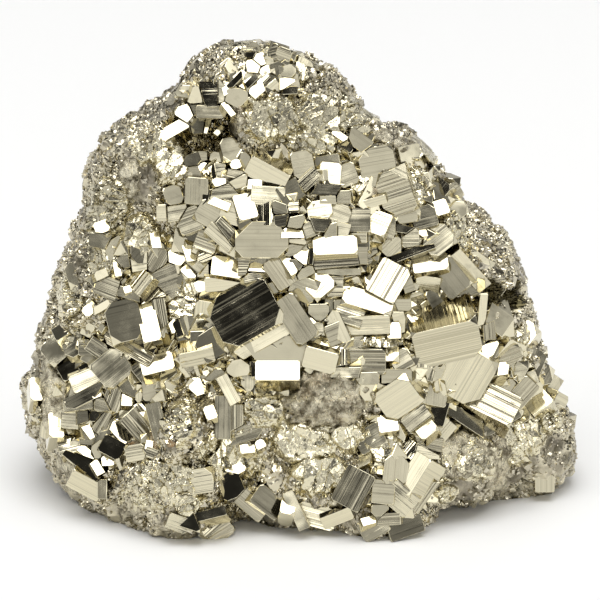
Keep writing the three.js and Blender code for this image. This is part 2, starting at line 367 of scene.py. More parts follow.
def facets(points, ways, width, slant, step, most):
    """A skin broken into flat facets that lean every way: its height in mm, and a chance for each facet."""
    seeds = points[rng.choice(len(points), int(SKIN_AREA / width ** 2))]
    flat_ways = skin_ways_out(seeds) + rng.normal(0, slant, seeds.shape)
    nearest, _ = nearest_seeds(points, seeds, 1)
    nearest = nearest[:, 0]
    facing = flat_ways[nearest]
    height = -((points - seeds[nearest]) * facing).sum(axis=1) / (ways * facing).sum(axis=1)
    height = np.clip(height, -most, most)
    return height + rng.uniform(-step, step, len(seeds))[nearest], rng.random(len(seeds))[nearest]


# Glitter: most of the tiny crystals in a patch lie nearly flat and shine as one, and a few are turned
# away and catch another light.
EDGE_FINENESS, EDGE_WANDER = 1500, 0.0011  # how finely and how far the edges of the tiny crystals wander
HALF = (0.5, 0.5, 0.5)  # taken off a random colour, it leaves a random way
MM_IN_METRE = 1000

glitter, given, out = new_group("glitter", {"Cell": 0.4, "Tilt": 0.6, "Spread": 3},
                                {"Normal": "NodeSocketVector", "Chance": "NodeSocketFloat"})
cells_in_metre = sums(glitter, "DIVIDE", MM_IN_METRE, given["Cell"])
place = place_on(glitter)
wander = clouds_at(glitter, place, EDGE_FINENESS, 2, output="Color")
wander = vector_sum(glitter, "SCALE", vector_sum(glitter, "SUBTRACT", wander, HALF), EDGE_WANDER)
place = vector_sum(glitter, "ADD", place, wander)
cells = put(glitter, "ShaderNodeTexVoronoi", {"Vector": place, "Scale": cells_in_metre}).outputs["Color"]
chance = put(glitter, "ShaderNodeTexWhiteNoise", {"Vector": cells}).outputs["Value"]
glitter.links.new(chance, out["Chance"])
turn = sums(glitter, "MULTIPLY", sums(glitter, "POWER", chance, given["Spread"]), given["Tilt"])
swing = vector_sum(glitter, "SCALE", vector_sum(glitter, "SUBTRACT", cells, HALF), turn)
facing = put(glitter, "ShaderNodeNewGeometry").outputs["Normal"]
turned = vector_sum(glitter, "NORMALIZE", vector_sum(glitter, "ADD", facing, swing))
glitter.links.new(turned, out["Normal"])

# Tarnish: a dark brown film in the hollows, thicker in some spots than others; and painted shade, the same
# dark brown, in every narrow gap.
FILM_AND_SHADE_COLOUR = (0.07, 0.06, 0.03, 1)
BLOTCH_FINENESS = 600
GAP_WIDTH = 0.0009
GAP_SHADE = 0.62  # the painted shade in the narrowest gaps

tarnished, given, out = new_group("tarnish", {"Colour": ORE_COLOUR}, {"Colour": "NodeSocketColor"})
blotches = clouds_at(tarnished, place_on(tarnished), BLOTCH_FINENESS, 3)
film_and_shade = sums(tarnished, "MULTIPLY_ADD", from_mesh(tarnished, "tarnish"), 1.6, blotches)
film_and_shade = spread(tarnished, film_and_shade, 0.65, 1.5, 0, 1)
# painted shade: ambient occlusion darkens the colour towards the film's brown wherever other surfaces lie
# close
open_to_light = put(tarnished, "ShaderNodeAmbientOcclusion", {"Distance": GAP_WIDTH}, samples=6).outputs["AO"]
film_and_shade = sums(tarnished, "MAXIMUM", film_and_shade, spread(tarnished, open_to_light, 0.2, 0.72, GAP_SHADE, 0))
tarnished.links.new(mixed(tarnished, film_and_shade, given["Colour"], FILM_AND_SHADE_COLOUR), out["Colour"])

ROUGH_SWING, CALM_SWING, MIRROR_SWING = 2.6, 0.5, 0.07  # how far the ore's glitter turns away
MOTTLE_FINENESS = 330

ore, tree, shader = new_material("fine grained ore")
calm_here = from_mesh(tree, "calm")
swing = spread(tree, calm_here, 0, 1, ROUGH_SWING, CALM_SWING)
swing = sums(tree, "MULTIPLY", swing, spread(tree, from_mesh(tree, "mirror"), 0, 1, 1, MIRROR_SWING))
sparkle = group_in(tree, glitter, Cell=0.34, Tilt=swing, Spread=2)
mottle = clouds_at(tree, place_on(tree), MOTTLE_FINENESS, 5, 0.65)
mottle = sums(tree, "MULTIPLY_ADD", calm_here, -0.22, mottle)
tarnished_and_shaded = group_in(tree, tarnished, Colour=ramp(tree, mottle, (0.2, ORE_SHADE), (0.5, ORE_COLOUR)))
rough = spread(tree, mottle, 0.2, 0.5, 0.36, 0.07)
finish(tree, shader, tarnished_and_shaded.outputs["Colour"], sparkle.outputs["Normal"], rough)

ball = bmesh.new()
bmesh.ops.create_icosphere(ball, subdivisions=HEAP_FINENESS, radius=1)
skin_ways = np.array([v.co[:] for v in ball.verts])
skin_faces = np.array([[v.index for v in f.verts] for f in ball.faces])
ball.free()
skin_ways /= np.linalg.norm(skin_ways, axis=1)[:, None]
wx, wy, wz = skin_ways.T
crags = np.sin(17 * wx + 5 * wz) * np.cos(13 * wy - 7 * wx)
crags += 0.7 * np.sin(29 * wz + 11 * wy) * np.sin(23 * wx - 3)
hearts = np.repeat(HEAP_HEART[None, :].astype(float), len(skin_ways), axis=0)
reach = crossing(hearts, skin_ways, np.zeros(len(skin_ways)), np.full(len(skin_ways), float(HEAP_REACH)))
reach += CRAG * crags
smooth_skin = HEAP_HEART + skin_ways * reach[:, None]
skin_xs, skin_vs = smooth_skin @ ACROSS, smooth_skin @ UP_FACE
facing_out = np.clip((skin_ways_out(smooth_skin) @ OUT_FACE - FRONT_FROM) / FRONT_OVER, 0, 1)
calm = np.array([noise.noise(Vector(p) / CALM_SIZE) for p in smooth_skin])
calm = np.clip((calm - CALM_FROM) / CALM_OVER, 0, MOST_CALM)
calm = np.maximum(calm, np.clip(2.5 * inside_ovals(skin_xs, skin_vs, SMOOTH_PATCHES), 0, 1) * facing_out)
grit = np.array([noise.noise(Vector(p) / GRIT_SIZE) for p in smooth_skin])
crowded = np.clip(3 * inside_ovals(skin_xs, skin_vs, CROWDED), 0, 1)
creases = lumps(smooth_skin)
relief = creases - SKIN_SUNK + (standing(skin_xs, skin_vs) - CROWD_SUNK * crowded) * facing_out
relief -= DEEPENED * np.clip(tarnish_at(smooth_skin) - 1, 0, MOST_DEEPENED)
mirror = np.zeros(len(smooth_skin))
for n, (width, slant, step, most) in enumerate(FACET_SIZES):
    height, chance = facets(smooth_skin, skin_ways, width, slant, step, most)
    relief += height * (1 - CALM_FLATTENS * calm) * (1 - MIRROR_FLATTENS * mirror)
    if n == 1:
        mirror = (chance < MIRROR_SHARE) * (1 - calm)
    fine = height
relief += GRIT_DEPTH * grit * (1.2 - calm) * (1 - mirror)
# painted shade: the creases between the lumps and the low edges of the fine facets are darkened with the
# tarnish's brown
painted_crease_shade = np.clip(-1.2 * creases - 0.5, 0, 0.6) + np.clip(-2 * fine - 0.1, 0, 0.4) * (1 - mirror)
skin_points = smooth_skin + skin_ways * relief[:, None]
skin_points[:, 2] = np.maximum(skin_points[:, 2], 0)
floor_reach = np.where(skin_ways[:, 2] < 0, -HEAP_HEART[2] / np.minimum(skin_ways[:, 2], -1e-6), 1e9)
below = reach > floor_reach
skin_points[below] = HEAP_HEART + skin_ways[below] * floor_reach[below, None]

# the mesh carries the tarnish and this painted crease shade together
tarnish = np.maximum(tarnish_at(skin_points), painted_crease_shade)
in_front = skin_ways[skin_faces].mean(axis=1) @ OUT_FACE > FRONT_EDGE
for name, part in (("ore_front", in_front), ("ore_back", ~in_front)):
    used, renumbered = np.unique(skin_faces[part], return_inverse=True)
    corners = renumbered.ravel()
    heap = make_piece(name, skin_points[used], corners, np.full(part.sum(), 3), ore, calm=calm[used][corners],
                      tarnish=tarnish[used][corners], mirror=mirror[used][corners])
    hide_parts("pyrite_cluster")

# ---------------------------------------------------------------- the striated blocks
# The large crystals on the front are cubes crowded into blocks, bright as polished metal. Each face is
# ribbed one way by fine growth steps, and the corners are cut where the octahedron begins.

BLOCKS = [  # across, up the face, width, height, depth, spin, tilt, turn, rise, cut, ribbing; mm, degrees
    # the big dark block in the middle and its neighbours
    (-9.2, 29, 11, 9.2, 9, 29, 15, -4, 2.4, 0.3, 0.8),
    (-12, 36.5, 5.4, 3.8, 4.5, -6, 30, 5, 1.4, 0.12, 0.2),
    (-12.7, 33.7, 6.2, 2.6, 4.5, 5, -22, 0, 1.8, 0.1, 0.2),
    (-6.3, 41, 8.8, 6, 5.5, 0, 4, 3, 1.6, 0.42, 0.3),
    (-3.3, 35.6, 5.4, 3.8, 4.5, -55, 14, -2, 1.2, 0.1, 0.7),
    (-0.8, 27.8, 8.4, 4.2, 5.5, -56, -5, -2, 2, 0.2, 0.15),
    (0.5, 32.8, 4.6, 4.2, 4.5, -20, -14, -10, 0.8, 0.2, 0.2),
    (3, 33.8, 4.6, 4.6, 4.5, 45, 18, 14, 1.1, 0.35, 0.4),
    (-3.7, 19.4, 7.4, 3.6, 7, 0, 25, 0, 2.8, 0.1, 0.15),
    (3.3, 21, 5.6, 3.8, 5.5, -15, -20, 0, 1.8, 0.15, 0.1),
    (-17, 21.4, 5.8, 2.8, 5.6, 12, -28, 0, 2.4, 0.1, 0.7),
    (5.8, 40.1, 7.4, 3.4, 6.2, 3, 26, 2, 2, 0.16, 0.1),
    (14.7, 34.3, 6.8, 5.4, 5.6, 62, 6, 21, 2.4, 0.12, 1.3),
    # the largest block and the plates around it
    (24.5, 23.6, 11.2, 7.4, 8.6, 13, -34, 0, 3.6, 0.18, 0.9),
    (25, 34.7, 6.2, 4.8, 5, -50, -18, -6, 1.6, 0.1, 0.1),
    (21.7, 37.2, 6, 3.2, 4, 8, 28, 0, 1.5, 0.2, 0.4),
    (21.3, 33.7, 4.2, 2.8, 4, -10, -28, 0, 0.8, 0.1, 0.3),
    (11.3, 31, 8.6, 3.8, 4.5, -15, 38, 2, 2, 0.3, 0.2),
    (8.2, 28.6, 4.8, 3.4, 4, -18, 20, 0, 1.4, 0.1, 0.3),
    (11.2, 26.8, 7.4, 3.2, 4.4, 2, -14, 0, 1.4, 0.1, 0.7),
    (10.8, 20.8, 6.8, 4.2, 5, 0, -6, -6, 0.6, 0.15, 0.9),
    (6, 25.4, 3.4, 3.6, 3.6, 20, -10, 10, 1, 0.1, 0.3),
    (16.8, 21, 3.4, 3.4, 3.4, 30, 5, 0, 0.6, 0.15, 0.3),
    (27.5, 18.4, 8.8, 8.4, 7, 61, -4, -12, 2, 0.38, 0.45),
    (31.3, 14.6, 11.2, 5.8, 5.5, -28, 25, -4, 1.8, 0.12, 1.1),
    (37.5, 15.4, 5.2, 3.4, 4.8, 48, -8, 0, 1.6, 0.1, 0.6),
    (40.2, 13.8, 4.4, 3.4, 4.2, 42, 26, 8, 2, 0.1, 0.3),
    # below the largest block
    (16.2, 14.6, 6.8, 5.8, 5.4, 36, -9, -14, 2, 0.28, 0.3),
    (19.3, 11.4, 4.8, 2.8, 3.8, 38, 4, 0, 1.2, 0.1, 0.3),
    (20.8, 9.8, 3.4, 3.4, 3.4, 40, 26, 5, 2.2, 0.25, 0.4),
    (23.7, 9, 4.6, 3.2, 4.2, 50, -15, 0, 1.4, 0.1, 0.3),
    (14.6, 10.6, 3.4, 3.2, 3.4, 10, 24, 4, 1.2, 0.1, 0.3),
    # the upper half
    (15.8, 48.8, 5.6, 7.8, 5.4, 20, -10, -12, 1.6, 0.38, 0.9),
    (9.3, 44.3, 4.8, 4.2, 4.2, 0, 15, 0, 1, 0.12, 0.3),
    (12.6, 44, 4.6, 4.2, 4.2, -25, 20, -14, 1.2, 0.12, 0.8),
    (3.3, 45.7, 4.2, 3.6, 3.8, 10, -10, 0, 0.8, 0.32, 0.3),
    (6.4, 45.2, 3.8, 3.8, 3.8, -20, 10, 0, 0.8, 0.32, 0.3),
    (22.8, 41.3, 5.2, 5.2, 4.8, 40, 14, 10, 1.2, 0.38, 0.3),
    (15.5, 39.8, 3.8, 3.4, 3.6, 45, -15, 0, 0.8, 0.38, 0.3),
    (20.7, 44.8, 4.2, 3.8, 3.8, 15, 0, -2, 0.6, 0.2, 0.3),
    (-5.5, 51.7, 7.2, 3.8, 5.4, -28, -28, 0, 2, 0.12, 0.3),
    (0.5, 53.5, 3.8, 4.6, 3.8, 12, 5, 14, 1, 0.2, 0.3),
    (5, 51.7, 3.6, 4.2, 3.8, -5, -8, 0, 1.2, 0.12, 0.3),
    (7.8, 51.8, 3.4, 3.8, 3.6, 20, 4, 0, 0.8, 0.2, 0.3),
    (-5.3, 48.2, 5.6, 3.2, 4.2, -4, -12, 0, 1, 0.12, 0.3),
    (-1.6, 48.8, 4.2, 3.6, 3.8, 30, -6, 14, 1, 0.15, 0.3),
    (-9, 46.5, 3.4, 4.6, 3.8, 18, 18, 14, 1.2, 0.12, 0.3),
    (-11.4, 45.4, 3.8, 3.8, 3.6, -15, -5, -10, 0.8, 0.2, 0.3),
    (-14.8, 45.2, 4.8, 4.2, 4.2, -30, 5, 0, 1.2, 0.22, 0.3),
    (-15.5, 40.7, 3.8, 3.4, 3.4, -20, 10, 0, 0.6, 0.15, 1.2),
    (-17.2, 49, 4.6, 4, 4.2, 85, 14, -12, 1.4, 0.12, 0.3),
    (-11.4, 56, 3.4, 4.2, 3.8, 15, 8, 16, 1.2, 0.35, 0.3),
    (-15, 62.2, 4.6, 2.2, 4.6, -1, -6, -4, 1.8, 0.2, 0.4),
    (-7.6, 67.2, 3.6, 3, 3.6, -20, 12, 0, 0.6, 0.2, 0.3),
    (-1.8, 67, 3.4, 3.4, 3.6, 10, -4, 4, 0.6, 0.15, 0.3),
    # the left side
    (-26.8, 34.2, 4, 4.2, 4.4, 52, 37, 0, 1.4, 0.1, 0.8),
    (-29.2, 27.6, 5.8, 7, 6.6, 14, 10, 1, 2.2, 0.26, 0.15),
    (-25.2, 27.4, 3.2, 7.4, 5, 14, 26, 4, 2.6, 0.16, 0.1),
    (-23.8, 20.5, 5.6, 3.4, 4.2, 14, 28, 0, 1.8, 0.12, 0.3),
    (-31.4, 19.6, 5.8, 5.6, 4.4, 40, -10, 0, 1.6, 0.28, 0.1),
    (-36, 17.6, 5, 3.2, 4.2, 22, -10, 0, 1.4, 0.1, 0.3),
    (-35.6, 23, 3, 2.8, 3.6, 0, -6, -5, 0.8, 0.15, 0.3),
    (-26.3, 9.8, 6.8, 4.4, 4.8, -48, 14, 5, 1.8, 0.12, 0.9),
    (-31.4, 6.4, 4.2, 3.2, 3.8, -30, 8, -12, 1.6, 0.12, 0.3),
    (-38, 11, 4.2, 3.4, 3.8, -5, 5, 0, 0.8, 0.15, 0.3),
    (-38.4, 6.6, 4.6, 2.8, 3.6, 15, 22, 0, 1.4, 0.12, 0.3),
    (-36, -0.2, 6, 3.8, 6, -28, -34, 0, 1.4, 0.1, 0.3),
    (-12.7, 11.6, 7.2, 2.8, 4.2, 88, -10, 4, 1.4, 0.1, 0.3),
    (-11.8, 16.2, 5.2, 2.2, 3.8, -62, 24, 0, 1.8, 0.1, 0.3),
    # along the bottom
    (-14.3, -7.2, 5.4, 5.2, 5, 41, -6, 0, 0.5, 0.2, 0.9),
    (-5.3, -2.6, 5.6, 3.8, 4.8, -35, 13, 14, 0.8, 0.12, 0.3),
    (2.6, -5, 7, 3.8, 5, -15, -10, 0, 0.5, 0.25, 0.7),
    (8.8, -0.2, 6.6, 5.2, 5, 62, 8, 0, 1.2, 0.1, 0.9),
    (18.7, 2.2, 7.2, 3.6, 5.2, 58, 36, 0, 1.8, 0.1, 0.3),
    (16.6, -2, 5.2, 4.4, 5, -40, -12, 0, 1.4, 0.1, 0.3),
    (13.8, -0.8, 3.8, 4, 4.4, -5, 8, 0, 1.2, 0.12, 0.3),
    (12.2, -6.8, 4.8, 3.6, 4.6, 30, -1, -7, 0.5, 0.15, 0.3),
    (17.6, -6.8, 6.2, 3.2, 4.8, 18, -2, 14, 0.5, 0.15, 0.3),
    (41.6, -0.2, 3, 3.4, 4.4, 90, -5, 0, 0.5, 0.1, 0.3),
]
RIB_SPACING = 0.34  # mm
RIB_DEPTH = 0.045  # on a fully ribbed face, and much less on a smoother one
EDGE_WEAR = 0.06  # mm taken off each edge
CRYSTAL_TARNISH = 0.35  # they tarnish less than the ore round them
SEAT_STEP = 0.5  # mm between tries at finding the heap under a place
BRIGHT_PYRITE = (0.74, 0.685, 0.5, 1)


def seats_on_face(xs, vs):
    """The points of the heap seen at places on the leaning face, and whether each place meets the heap."""
    starts = np.outer(xs, ACROSS) + np.outer(vs, UP_FACE)
    ways = np.repeat(OUT_FACE[None, :], len(starts), axis=0)
    out_by = np.full(len(starts), float(HEAP_REACH))
    falling = np.arange(len(starts))
    while len(falling):
        above = outside_heap(starts[falling] + ways[falling] * out_by[falling, None]) > 0
        falling = falling[above & (out_by[falling] > -HEAP_REACH)]
        out_by[falling] -= SEAT_STEP
    seats = starts + ways * crossing(starts, ways, out_by, out_by + SEAT_STEP)[:, None]
    return seats, out_by > -HEAP_REACH


def turned_by(spin, tilt, turn):
    """Rows are a block's own axes in the world: along its width, its height and out of its front."""
    m = Euler((0, 0, math.radians(spin))).to_matrix() @ Euler((math.radians(-tilt), 0, 0)).to_matrix()
    m = m @ Euler((0, math.radians(turn), 0)).to_matrix()
    return np.array(m).T @ np.array([ACROSS, UP_FACE, OUT_FACE])


SIGNS = np.array([[1 if k & 1 else -1, 1 if k & 2 else -1, 1 if k & 4 else -1] for k in range(8)])


def corner_cuts(half, gone):
    """Planes that cut each corner of a box back by a distance along its three edges."""
    return [(SIGNS[k] / math.sqrt(3), (half.sum() - gone[k]) / math.sqrt(3)) for k in range(8)]


def cut_box(half, cuts):
    """A box with planes cut off it, each given by its way out and how far it is from the middle."""
    shape = bmesh.new()
    bmesh.ops.create_cube(shape, size=2, matrix=Matrix.Diagonal((*half, 1)))
    for way, reach in cuts:
        everything = shape.verts[:] + shape.edges[:] + shape.faces[:]
        done = bmesh.ops.bisect_plane(shape, geom=everything, dist=1e-6, plane_co=way * reach, plane_no=way,
                                      clear_outer=True)
        rim = [e for e in done["geom_cut"] if isinstance(e, bmesh.types.BMEdge)]
        if len(rim) > 2:
            bmesh.ops.contextual_create(shape, geom=rim)
    bmesh.ops.bevel(shape, geom=shape.edges[:], offset=EDGE_WEAR, segments=1, affect="EDGES")
    bmesh.ops.recalc_face_normals(shape, faces=shape.faces[:])
    return shape


ACROSS_RIBS = (2, 0, 1)  # the axis across the ribs of the faces square to a crystal's own x, y and z
SQUARE_ON = 0.98  # how nearly along an axis a face points that counts as square to it
CUT_FACE_RIBBING = 0.25  # the cut corners' share of their crystal's ribbing
RIB_SHIFT = 13  # mm along the pattern of ribs from the faces square to one axis to the next


def crystal_corners(shape, axes, ribbing, offset):
    """A crystal's points and faces, and each face corner's place and way across the ribs and its ribbing."""
    shape.verts.index_update()
    points = np.array([v.co[:] for v in shape.verts])
    corners, counts, stria, ways, ribbed = [], [], [], [], []
    # cutting leaves the faces in no fixed order, so they are sorted by their corners
    for f in sorted(shape.faces, key=lambda face: sorted(v.index for v in face.verts)):
        axis = int(np.argmax(np.abs(f.normal)))
        plain = abs(f.normal[axis]) < SQUARE_ON
        ids = [v.index for v in f.verts]
        corners += ids
        counts.append(len(ids))
        stria += [points[i][ACROSS_RIBS[axis]] + offset + RIB_SHIFT * axis for i in ids]
        ways += [axes[ACROSS_RIBS[axis]]] * len(ids)
        ribbed += [ribbing * (CUT_FACE_RIBBING if plain else 1)] * len(ids)
    return points, corners, counts, stria, ways, ribbed


def join_crystals(name, made, material):
    """One mesh of many crystals, each given by its corner values and its place."""
    points, corners, counts, stria, ways, ribbed = [], [], [], [], [], []
    start = 0
    for (local, ids, sizes, across_at, across_way, ribs), axes, centre in made:
        points.append(local @ axes + centre)
        corners += [i + start for i in ids]
        counts += sizes
        stria += across_at
        ways += across_way
        ribbed += ribs
        start += len(local)
    points = np.concatenate(points)
    points[:, 2] = np.maximum(points[:, 2], 0)
    return make_piece(name, points, corners, counts, material, stria=stria, across=ways, ribbing=ribbed,
                      tarnish=CRYSTAL_TARNISH * tarnish_at(points)[corners])


def rib_lines(half, seed):
    """Uneven places across a face at which its ribs begin and end."""
    count = max(2, round(2 * half / RIB_SPACING))
    step = 2 * half / count
    return np.array([-half + step * (i + 0.8 * (uneven(seed + 3 * i) - 0.5)) for i in range(1, count)])


def striated_block(row, index):
    """A block with stepped ribs on its six faces, its axes and its half sizes."""
    _, _, width, height, depth, spin, tilt, turn, _, cut, ribbing = row
    half = np.array([width, height, depth]) / 2
    gone = [cut * half.min() * (0.9 + 1.6 * uneven(index * 8 + k)) for k in range(8)]
    shape = cut_box(half, corner_cuts(half, gone))
    lines = [rib_lines(half[axis], index * 97 + axis * 31) for axis in range(3)]
    for axis, across in enumerate(ACROSS_RIBS):
        way = np.eye(3)[across]
        for at in lines[across]:
            faces = [f for f in shape.faces if abs(f.normal[axis]) > SQUARE_ON]
            rims = dict.fromkeys(part for f in faces for part in (*f.verts, *f.edges))
            bmesh.ops.bisect_plane(shape, geom=[*rims, *faces], dist=1e-5, plane_co=way * at, plane_no=way)
    for axis in range(3):
        across = ACROSS_RIBS[axis]
        knots = np.concatenate(([-half[across]], lines[across], [half[across]]))
        for side in (-1, 1):
            depths = [-RIB_DEPTH * ribbing ** 2 * uneven(index * 53 + axis * 17 + side * 7 + i * 5) * (i % 2)
                      for i in range(len(knots) - 1)] + [0]
            for v in shape.verts:
                if abs(v.co[axis] - side * half[axis]) < 1e-4:
                    v.co[axis] += side * np.interp(v.co[across], knots, depths)
    bmesh.ops.triangulate(shape, faces=[f for f in shape.faces if len(f.verts) > 4])
    axes = turned_by(spin, tilt, turn)
    made = crystal_corners(shape, axes, ribbing, 40 * index)
    shape.free()
    return made, axes, half


# Ribs: growth steps run in straight lines across a face, and each leans a little its own way. The steeper
# ones also get a painted shade, a darker colour along their lines.
RIB_STRIPS = (1.3, 0.4), (4.5, 0.9), (11, 1.0)  # how many to a mm, and how much they lean
STEEP_RIB = 0.07
WAVE_FINENESS, WAVES = 280, 0.08
RIB_SHADE_COLOUR = (0.22, 0.19, 0.12, 1)

ribs, given, out = new_group("ribs", {"Depth": 0.1},
                             {"Normal": "NodeSocketVector", "Shade": "NodeSocketFloat"})
across_at = from_mesh(ribs, "stria")
ribbing = from_mesh(ribs, "ribbing")
evenness = spread(ribs, ribbing, 0.4, 1.5, 3.5, 1)
lean = 0
for fineness, share in RIB_STRIPS:
    strips = put(ribs, "ShaderNodeTexVoronoi", {"W": across_at, "Scale": fineness}, voronoi_dimensions="1D")
    own = put(ribs, "ShaderNodeSeparateColor", {"Color": strips.outputs["Color"]}).outputs["Red"]
    own = spread(ribs, own, 0, 1, -1, 1)
    steep = sums(ribs, "POWER", sums(ribs, "ABSOLUTE", own), evenness)
    side = sums(ribs, "MULTIPLY", sums(ribs, "SIGN", own), share)
    lean = sums(ribs, "MULTIPLY_ADD", steep, side, lean)
lean = sums(ribs, "MULTIPLY", sums(ribs, "MULTIPLY", lean, ribbing), given["Depth"])
# painted shade: the steeper a rib leans, the more its colour darkens
ribs.links.new(spread(ribs, sums(ribs, "ABSOLUTE", lean), 0, STEEP_RIB, 1, 0.5), out["Shade"])
swing = vector_sum(ribs, "SCALE", from_mesh(ribs, "across", "Vector"), lean)
waves = clouds_at(ribs, place_on(ribs), WAVE_FINENESS, 2, output="Color")
waves = vector_sum(ribs, "SCALE", vector_sum(ribs, "SUBTRACT", waves, HALF), WAVES)
facing = put(ribs, "ShaderNodeNewGeometry").outputs["Normal"]
turned = vector_sum(ribs, "ADD", vector_sum(ribs, "ADD", facing, swing), waves)
ribs.links.new(vector_sum(ribs, "NORMALIZE", turned), out["Normal"])

pyrite, tree, shader = new_material("striated pyrite")
ribbed = group_in(tree, ribs, Depth=0.12)
# the painted shade of the rib lines darkens the bright metal
rib_shaded = mixed(tree, ribbed.outputs["Shade"], RIB_SHADE_COLOUR, BRIGHT_PYRITE)
tarnished_and_shaded = group_in(tree, tarnished, Colour=rib_shaded)
dulled = clouds_at(tree, place_on(tree), 260, 3)
rough = spread(tree, dulled, 0.35, 0.7, 0.03, 0.2)
finish(tree, shader, tarnished_and_shaded.outputs["Colour"], ribbed.outputs["Normal"], rough)

seats, _ = seats_on_face(*np.array([row[:2] for row in BLOCKS], float).T)
made, block_frames = [], []
for index, (row, seat) in enumerate(zip(BLOCKS, seats)):
    corners, axes, half = striated_block(row, index)
    centre = seat + OUT_FACE * (row[8] + standing(row[0], row[1])) - axes[2] * half[2]
    made.append((corners, axes, centre))
    block_frames.append((centre, axes, half))
join_crystals("striated_blocks", made, pyrite)

# ---------------------------------------------------------------- the smaller crystals
# Between the blocks the front is packed with smaller crystals of the same kind, grown into each other
# so that little more than one or two faces of each shows. Round the back they stand in loose clumps.

